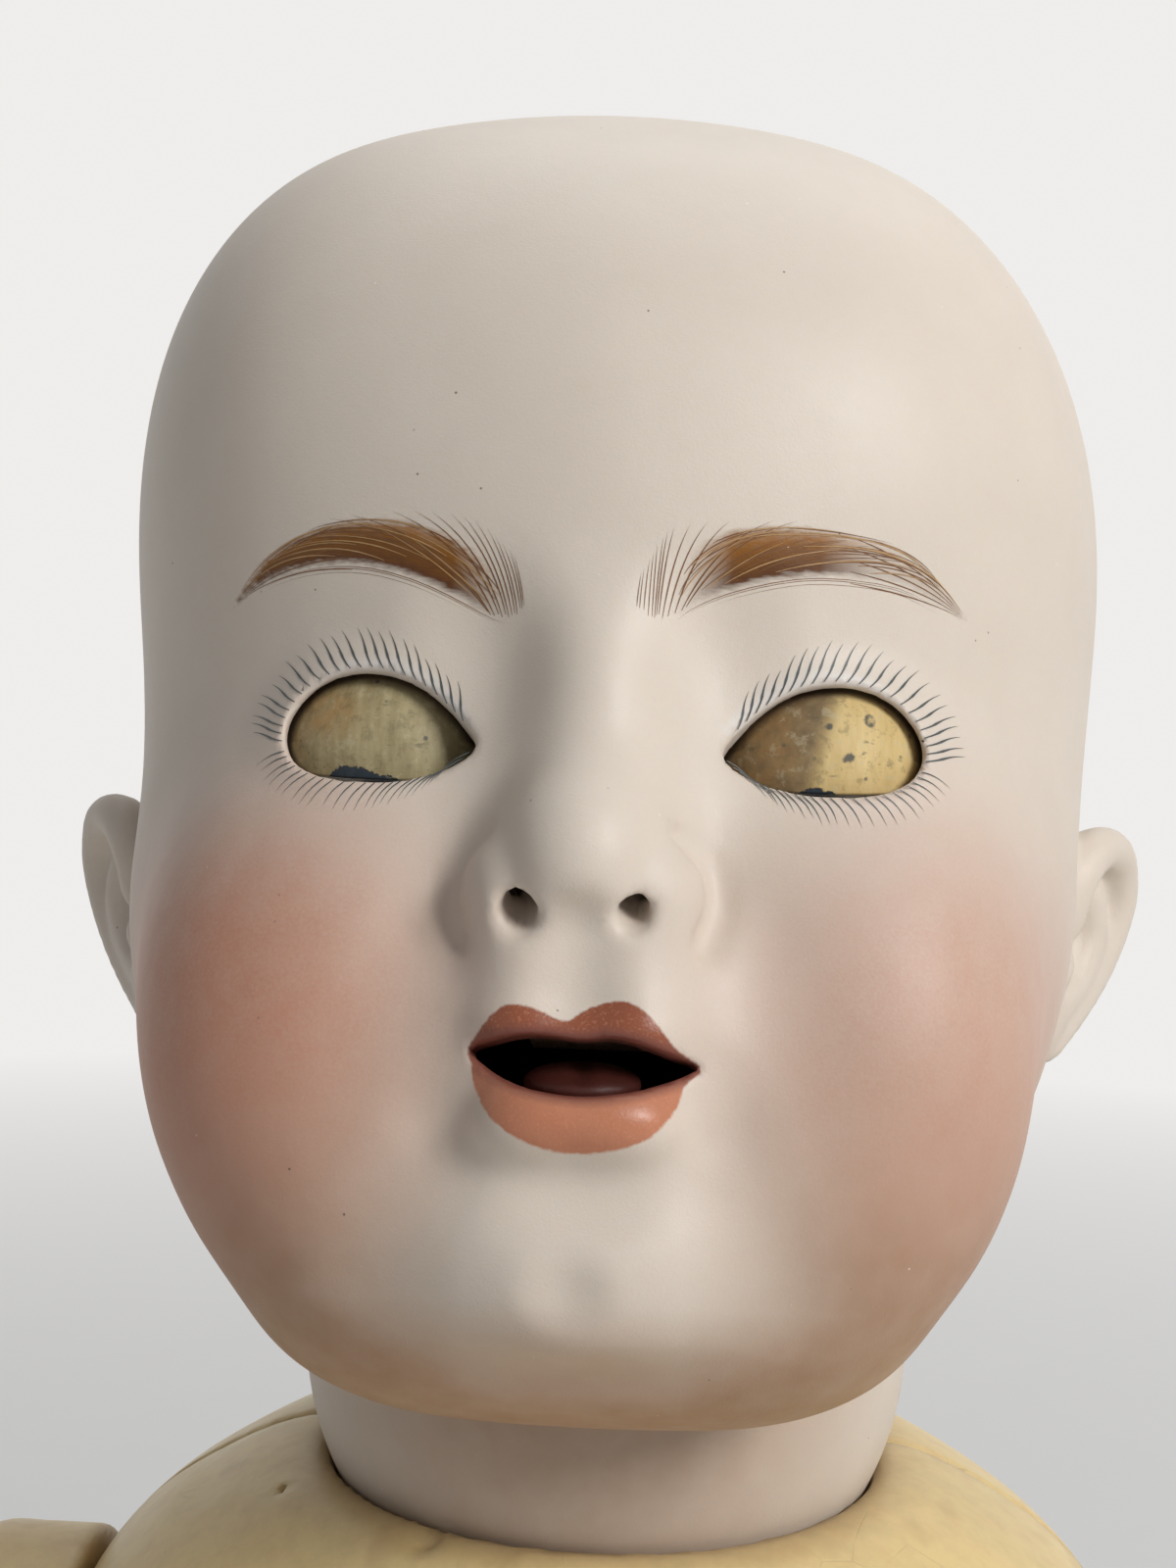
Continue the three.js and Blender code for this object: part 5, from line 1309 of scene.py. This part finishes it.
def limbFields(points, part):
    x, y, z = points.T
    middle, flat = bodySizes[part + "Middle"], bodySizes[part + "Flat"]
    worn = 0.9 * np.exp(-np.abs(x - flat) / 1.6) * (np.hypot(y - middle[0], z - middle[1]) > 10)
    if part == "leg":
        worn = worn + 0.6 * np.exp(-np.maximum(z, 0) / 3)
        chain = limbChain(legPath, part)
        knee = chain[12][:3]
        flush = 0.7 * bell(ballGap(x, y, z, np.add(knee, (0, 0, 18)), 0) / 18)
    else:
        chain = limbChain(armPath, part)
        elbow = chain[16][:3]
        flush = 0.8 * bell(ballGap(x, y, z, np.add(elbow, (6, 6, -8)), 0) / 18)
        flush = flush + 0.7 * bell(ballGap(x, y, z, (flat + 20, middle[0], middle[1] + 8), 0) / 15)
    flush = flush + 0.7 * ramp(30 - ballGap(x, y, z, np.add(chain[-1][:3], (-4, -26, 6)), 0), 18)
    return {"worn": worn, "flush": np.clip(flush, 0, 1)}


for part, gap in (("arm", armGap), ("leg", legGap)):
    points, faces = surfaceNet(gap, *roomOf("left_" + part, 3), limbSizes["cell"])
    fields = limbFields(points, part)
    for word in ("left", "right"):
        if word == "right":
            points, faces = points * (-1, 1, 1), faces[:, ::-1]
        meshPiece(word + part.capitalize(), points * mm, faces, word + "_" + part, "composition", composition,
                  [word + "_" + part], fields)
    print(part + "s:", len(points), "points each")


# Finishes of the works inside, whose shapes come from the frame

def plasterFinish():
    finish = Finish("castPlaster", Roughness=0.9)
    finish.color(finish.mix((0.62, 0.58, 0.50), (0.75, 0.72, 0.66), finish.grain(4, 4)))
    pore = (0.2 - finish.cells(1.3)).over(0, 0.04)
    finish.coat((0.36, 0.32, 0.26), pore * finish.grain(3, 1).over(0.5, 0.1) * 0.8)
    finish.bump(finish.grain(0.7, 4) - pore, 0.3, 0.6)
    return finish


def corkFinish():
    finish = Finish("bumperCork", Roughness=0.95)
    crumb = finish.cells(1.6)
    finish.color(finish.mix((0.42, 0.255, 0.12), (0.25, 0.14, 0.06), crumb))
    finish.coat((0.10, 0.05, 0.025), finish.grain(1.1, 3).over(0.6, 0.04) * 0.8)
    finish.bump(crumb + finish.grain(0.5, 3), 0.4, 0.7)
    return finish


def ironFinish():
    finish = Finish("blackIron", Roughness=0.5, Metallic=0.8)
    rust = finish.grain(2.2, 5, 0.7).over(0.55, 0.08)
    finish.color(finish.mix((0.13, 0.12, 0.115), (0.23, 0.09, 0.035), rust * 0.85))
    finish.feed(finish.shader.inputs["Metallic"], 0.85 - 0.7 * rust)
    finish.rough(0.42 + 0.4 * rust)
    finish.bump(finish.grain(0.4, 3) + 0.8 * rust, 0.1, 0.6)
    return finish


def leadFinish():
    finish = Finish("castLead", Roughness=0.6, Metallic=0.7)
    bloom = finish.grain(3, 4, 0.65)
    finish.color(finish.mix((0.16, 0.165, 0.175), (0.36, 0.365, 0.37), bloom.over(0.5, 0.2)))
    finish.rough(0.45 + 0.4 * bloom)
    finish.bump(finish.grain(2.5, 2) + 0.3 * bloom, 0.4, 0.6)
    return finish


def tongueFinish():
    finish = Finish("tonguePaint", Roughness=0.5, Specular_IOR_Level=0.2)
    finish.color(finish.mix((0.035, 0.009, 0.006), (0.07, 0.016, 0.011), finish.grain(2, 3)))
    finish.coat((0.06, 0.012, 0.01), finish.grain(0.7, 3).over(0.62, 0.05) * 0.7)
    finish.bump(finish.grain(0.5, 3), 0.08, 0.5)
    return finish


def turnedFinish():
    finish = Finish("turnedBeech", Roughness=0.7)
    vein = finish.grain(1.2, 4, 0.6, stretch=(0.12, 1, 1))
    finish.color(finish.mix((0.33, 0.19, 0.09), (0.52, 0.35, 0.19), vein))
    fleck = finish.grain(0.6, 2, stretch=(0.3, 1, 1)).over(0.65, 0.03)
    finish.coat((0.20, 0.10, 0.045), fleck * 0.7)
    finish.coat((0.12, 0.07, 0.04), finish.grain(7, 2).over(0.62, 0.1) * 0.5)
    finish.bump(vein + 0.4 * fleck, 0.15, 0.5)
    return finish


def elasticFinish():
    finish = Finish("braidedElastic", Roughness=0.9)
    weave = finish.node("TexWave", {"wave_type": "BANDS", "bands_direction": "DIAGONAL"},
                        {"Vector": finish.place, "Scale": 0.32 / mm, "Distortion": 1.5, "Detail": 1.0})
    ridge = Num(weave.outputs["Fac"])
    finish.color(finish.mix((0.36, 0.30, 0.21), (0.66, 0.59, 0.46), ridge))
    finish.coat((0.28, 0.22, 0.15), finish.grain(5, 3).over(0.6, 0.1) * 0.5)
    finish.bump(ridge + 0.3 * finish.grain(0.2, 2), 0.25, 0.7)
    return finish


def tonguePiece():
    low, high = roomOf("tongue", 0)
    middle, half = (low + high) / 2, (high - low) / 2

    def gap(x, y, z):
        body = ovalGap(x, y, z, middle, half * (0.99, 0.99, 0.97))
        front, back = middle + (0, -half[1], half[2]), middle + (0, 0.3 * half[1], half[2] * 1.1)
        return softCut(body, rodGap(x, y, z, front, back, 0.5, 0.5), 1.6)  # the furrow

    points, faces = surfaceNet(gap, low - 2, high + 2, 0.5)
    meshPiece("paintedTongue", points * mm, faces, "tongue", "tongue_paint", tongueFinish(), ["tongue"])


limbs = ["left_arm", "right_arm", "left_leg", "right_leg"]
worksFinishes = (
    (plasterFinish(), ["left_eye_seat", "right_eye_seat", "left_eye_plaster", "right_eye_plaster", "tongue_seat"]),
    (corkFinish(), ["weight_bumper"]),
    (ironFinish(), ["eye_wire", "neck_hook", "tongue_wire"] + [limb + "_hook" for limb in limbs]),
    (leadFinish(), ["eye_weight"]),
    (turnedFinish(), ["neck_button"] + [limb + "_plug" for limb in limbs]),
    (elasticFinish(), ["arm_elastic", "leg_elastic"]),
)
for finish, names in worksFinishes:
    for name in names:
        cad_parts[name].material_slots[0].material = finish.material
tonguePiece()
print("works inside")


# Camera, light and floor

cameraSizes = {
    "lens": 50,
    "sensor": 36,
    "down": math.radians(3.2),
    "yaw": math.radians(3.4),
    "roll": math.radians(1.7),
    "back": 267.5,
    "up": 7.7,
    "right": -3.97,
}


def setCamera():
    sizes = cameraSizes
    down, yaw, roll = sizes["down"], sizes["yaw"], sizes["roll"]
    ahead = Vector((-math.sin(yaw) * math.cos(down), math.cos(yaw) * math.cos(down), -math.sin(down)))
    right = Vector((math.cos(yaw), math.sin(yaw), 0))
    up = right.cross(ahead)
    place = (Vector(headOrigin) - sizes["back"] * ahead + sizes["up"] * up + sizes["right"] * right) * mm
    rightTurned = right * math.cos(roll) + up * math.sin(roll)
    upTurned = up * math.cos(roll) - right * math.sin(roll)
    camera = bpy.data.objects.new("camera", bpy.data.cameras.new("camera"))
    bpy.context.scene.collection.objects.link(camera)
    camera.data.lens = sizes["lens"]
    camera.data.sensor_fit = "VERTICAL"
    camera.data.sensor_height = sizes["sensor"]
    camera.data.clip_start = 0.01
    axes = Matrix((rightTurned, upTurned, -ahead)).transposed()
    camera.matrix_world = Matrix.Translation(place) @ axes.to_4x4()
    bpy.context.scene.camera = camera


lampSizes = {
    "key": {"at": (0.9, -0.85, 0.98), "size": 0.45, "watts": 16.6},
    "fill": {"at": (-1.1, -1.1, 0.4), "size": 1.4, "watts": 0.9},
    "top": {"at": (0.1, 0.4, 1.3), "size": 0.9, "watts": 4},
}


def setLights():
    for name, lamp in lampSizes.items():
        data = bpy.data.lights.new(name, "AREA")
        data.size = lamp["size"]
        data.energy = lamp["watts"]
        light = bpy.data.objects.new(name, data)
        bpy.context.scene.collection.objects.link(light)
        light.location = lamp["at"]
        aim = Vector((0, 0, 0.24)) - light.location
        light.rotation_euler = aim.to_track_quat("-Z", "Y").to_euler()


stageSizes = {
    "half": 12.0,
    "drop": -0.0005,
    "pale": (0.86, 0.85, 0.835),
    "near": 0.35,
    "fade": 0.5,
    "sky": (0.92, 0.95, 1.0),
    "skyStrength": 0.18,
}


def setStage():
    # a floor of pale paper that turns into the pale studio away from the doll
    sizes = stageSizes
    half, pale = sizes["half"], sizes["pale"]
    mesh = bpy.data.meshes.new("paperFloor")
    corners = [(x * half, y * half, sizes["drop"]) for x, y in ((-1, -1), (1, -1), (1, 1), (-1, 1))]
    mesh.from_pydata(corners, [], [(0, 1, 2, 3)])
    paper = Finish("floorPaper", Roughness=0.95)
    paper.color(paper.mix(pale, tuple(0.97 * part for part in pale), paper.grain(50, 2)))
    far = Num(paper.node("VectorMath", {"operation": "LENGTH"}, {0: paper.place}).outputs["Value"])
    blend = paper.node("MixShader", inputs={
        0: far.over(sizes["near"] + sizes["fade"], sizes["fade"]) * paper.seen(),
        1: paper.shader.outputs[0],
        2: paper.node("Emission", inputs={"Color": pale, "Strength": 1.0}).outputs[0],
    })
    paper.feed(paper.tree.nodes["Material Output"].inputs["Surface"], blend.outputs[0])
    mesh.materials.append(paper.material)
    piece = bpy.data.objects.new("paperFloor", mesh)
    bpy.context.scene.collection.objects.link(piece)
    world = bpy.data.worlds.new("studio")
    bpy.context.scene.world = world
    world.use_nodes = True
    sky = Nodes(world.node_tree)
    soft = sky.tree.nodes["Background"]
    sky.feed(soft.inputs["Color"], sizes["sky"])
    sky.feed(soft.inputs["Strength"], sizes["skyStrength"])
    blend = sky.node("MixShader", inputs={
        0: sky.seen(),
        1: soft.outputs[0],
        2: sky.node("Background", inputs={"Color": pale}).outputs[0],
    })
    sky.feed(sky.tree.nodes["World Output"].inputs["Surface"], blend.outputs[0])


setCamera()
setLights()
setStage()
bpy.context.scene.view_settings.view_transform = "Standard"
print("camera and lights")
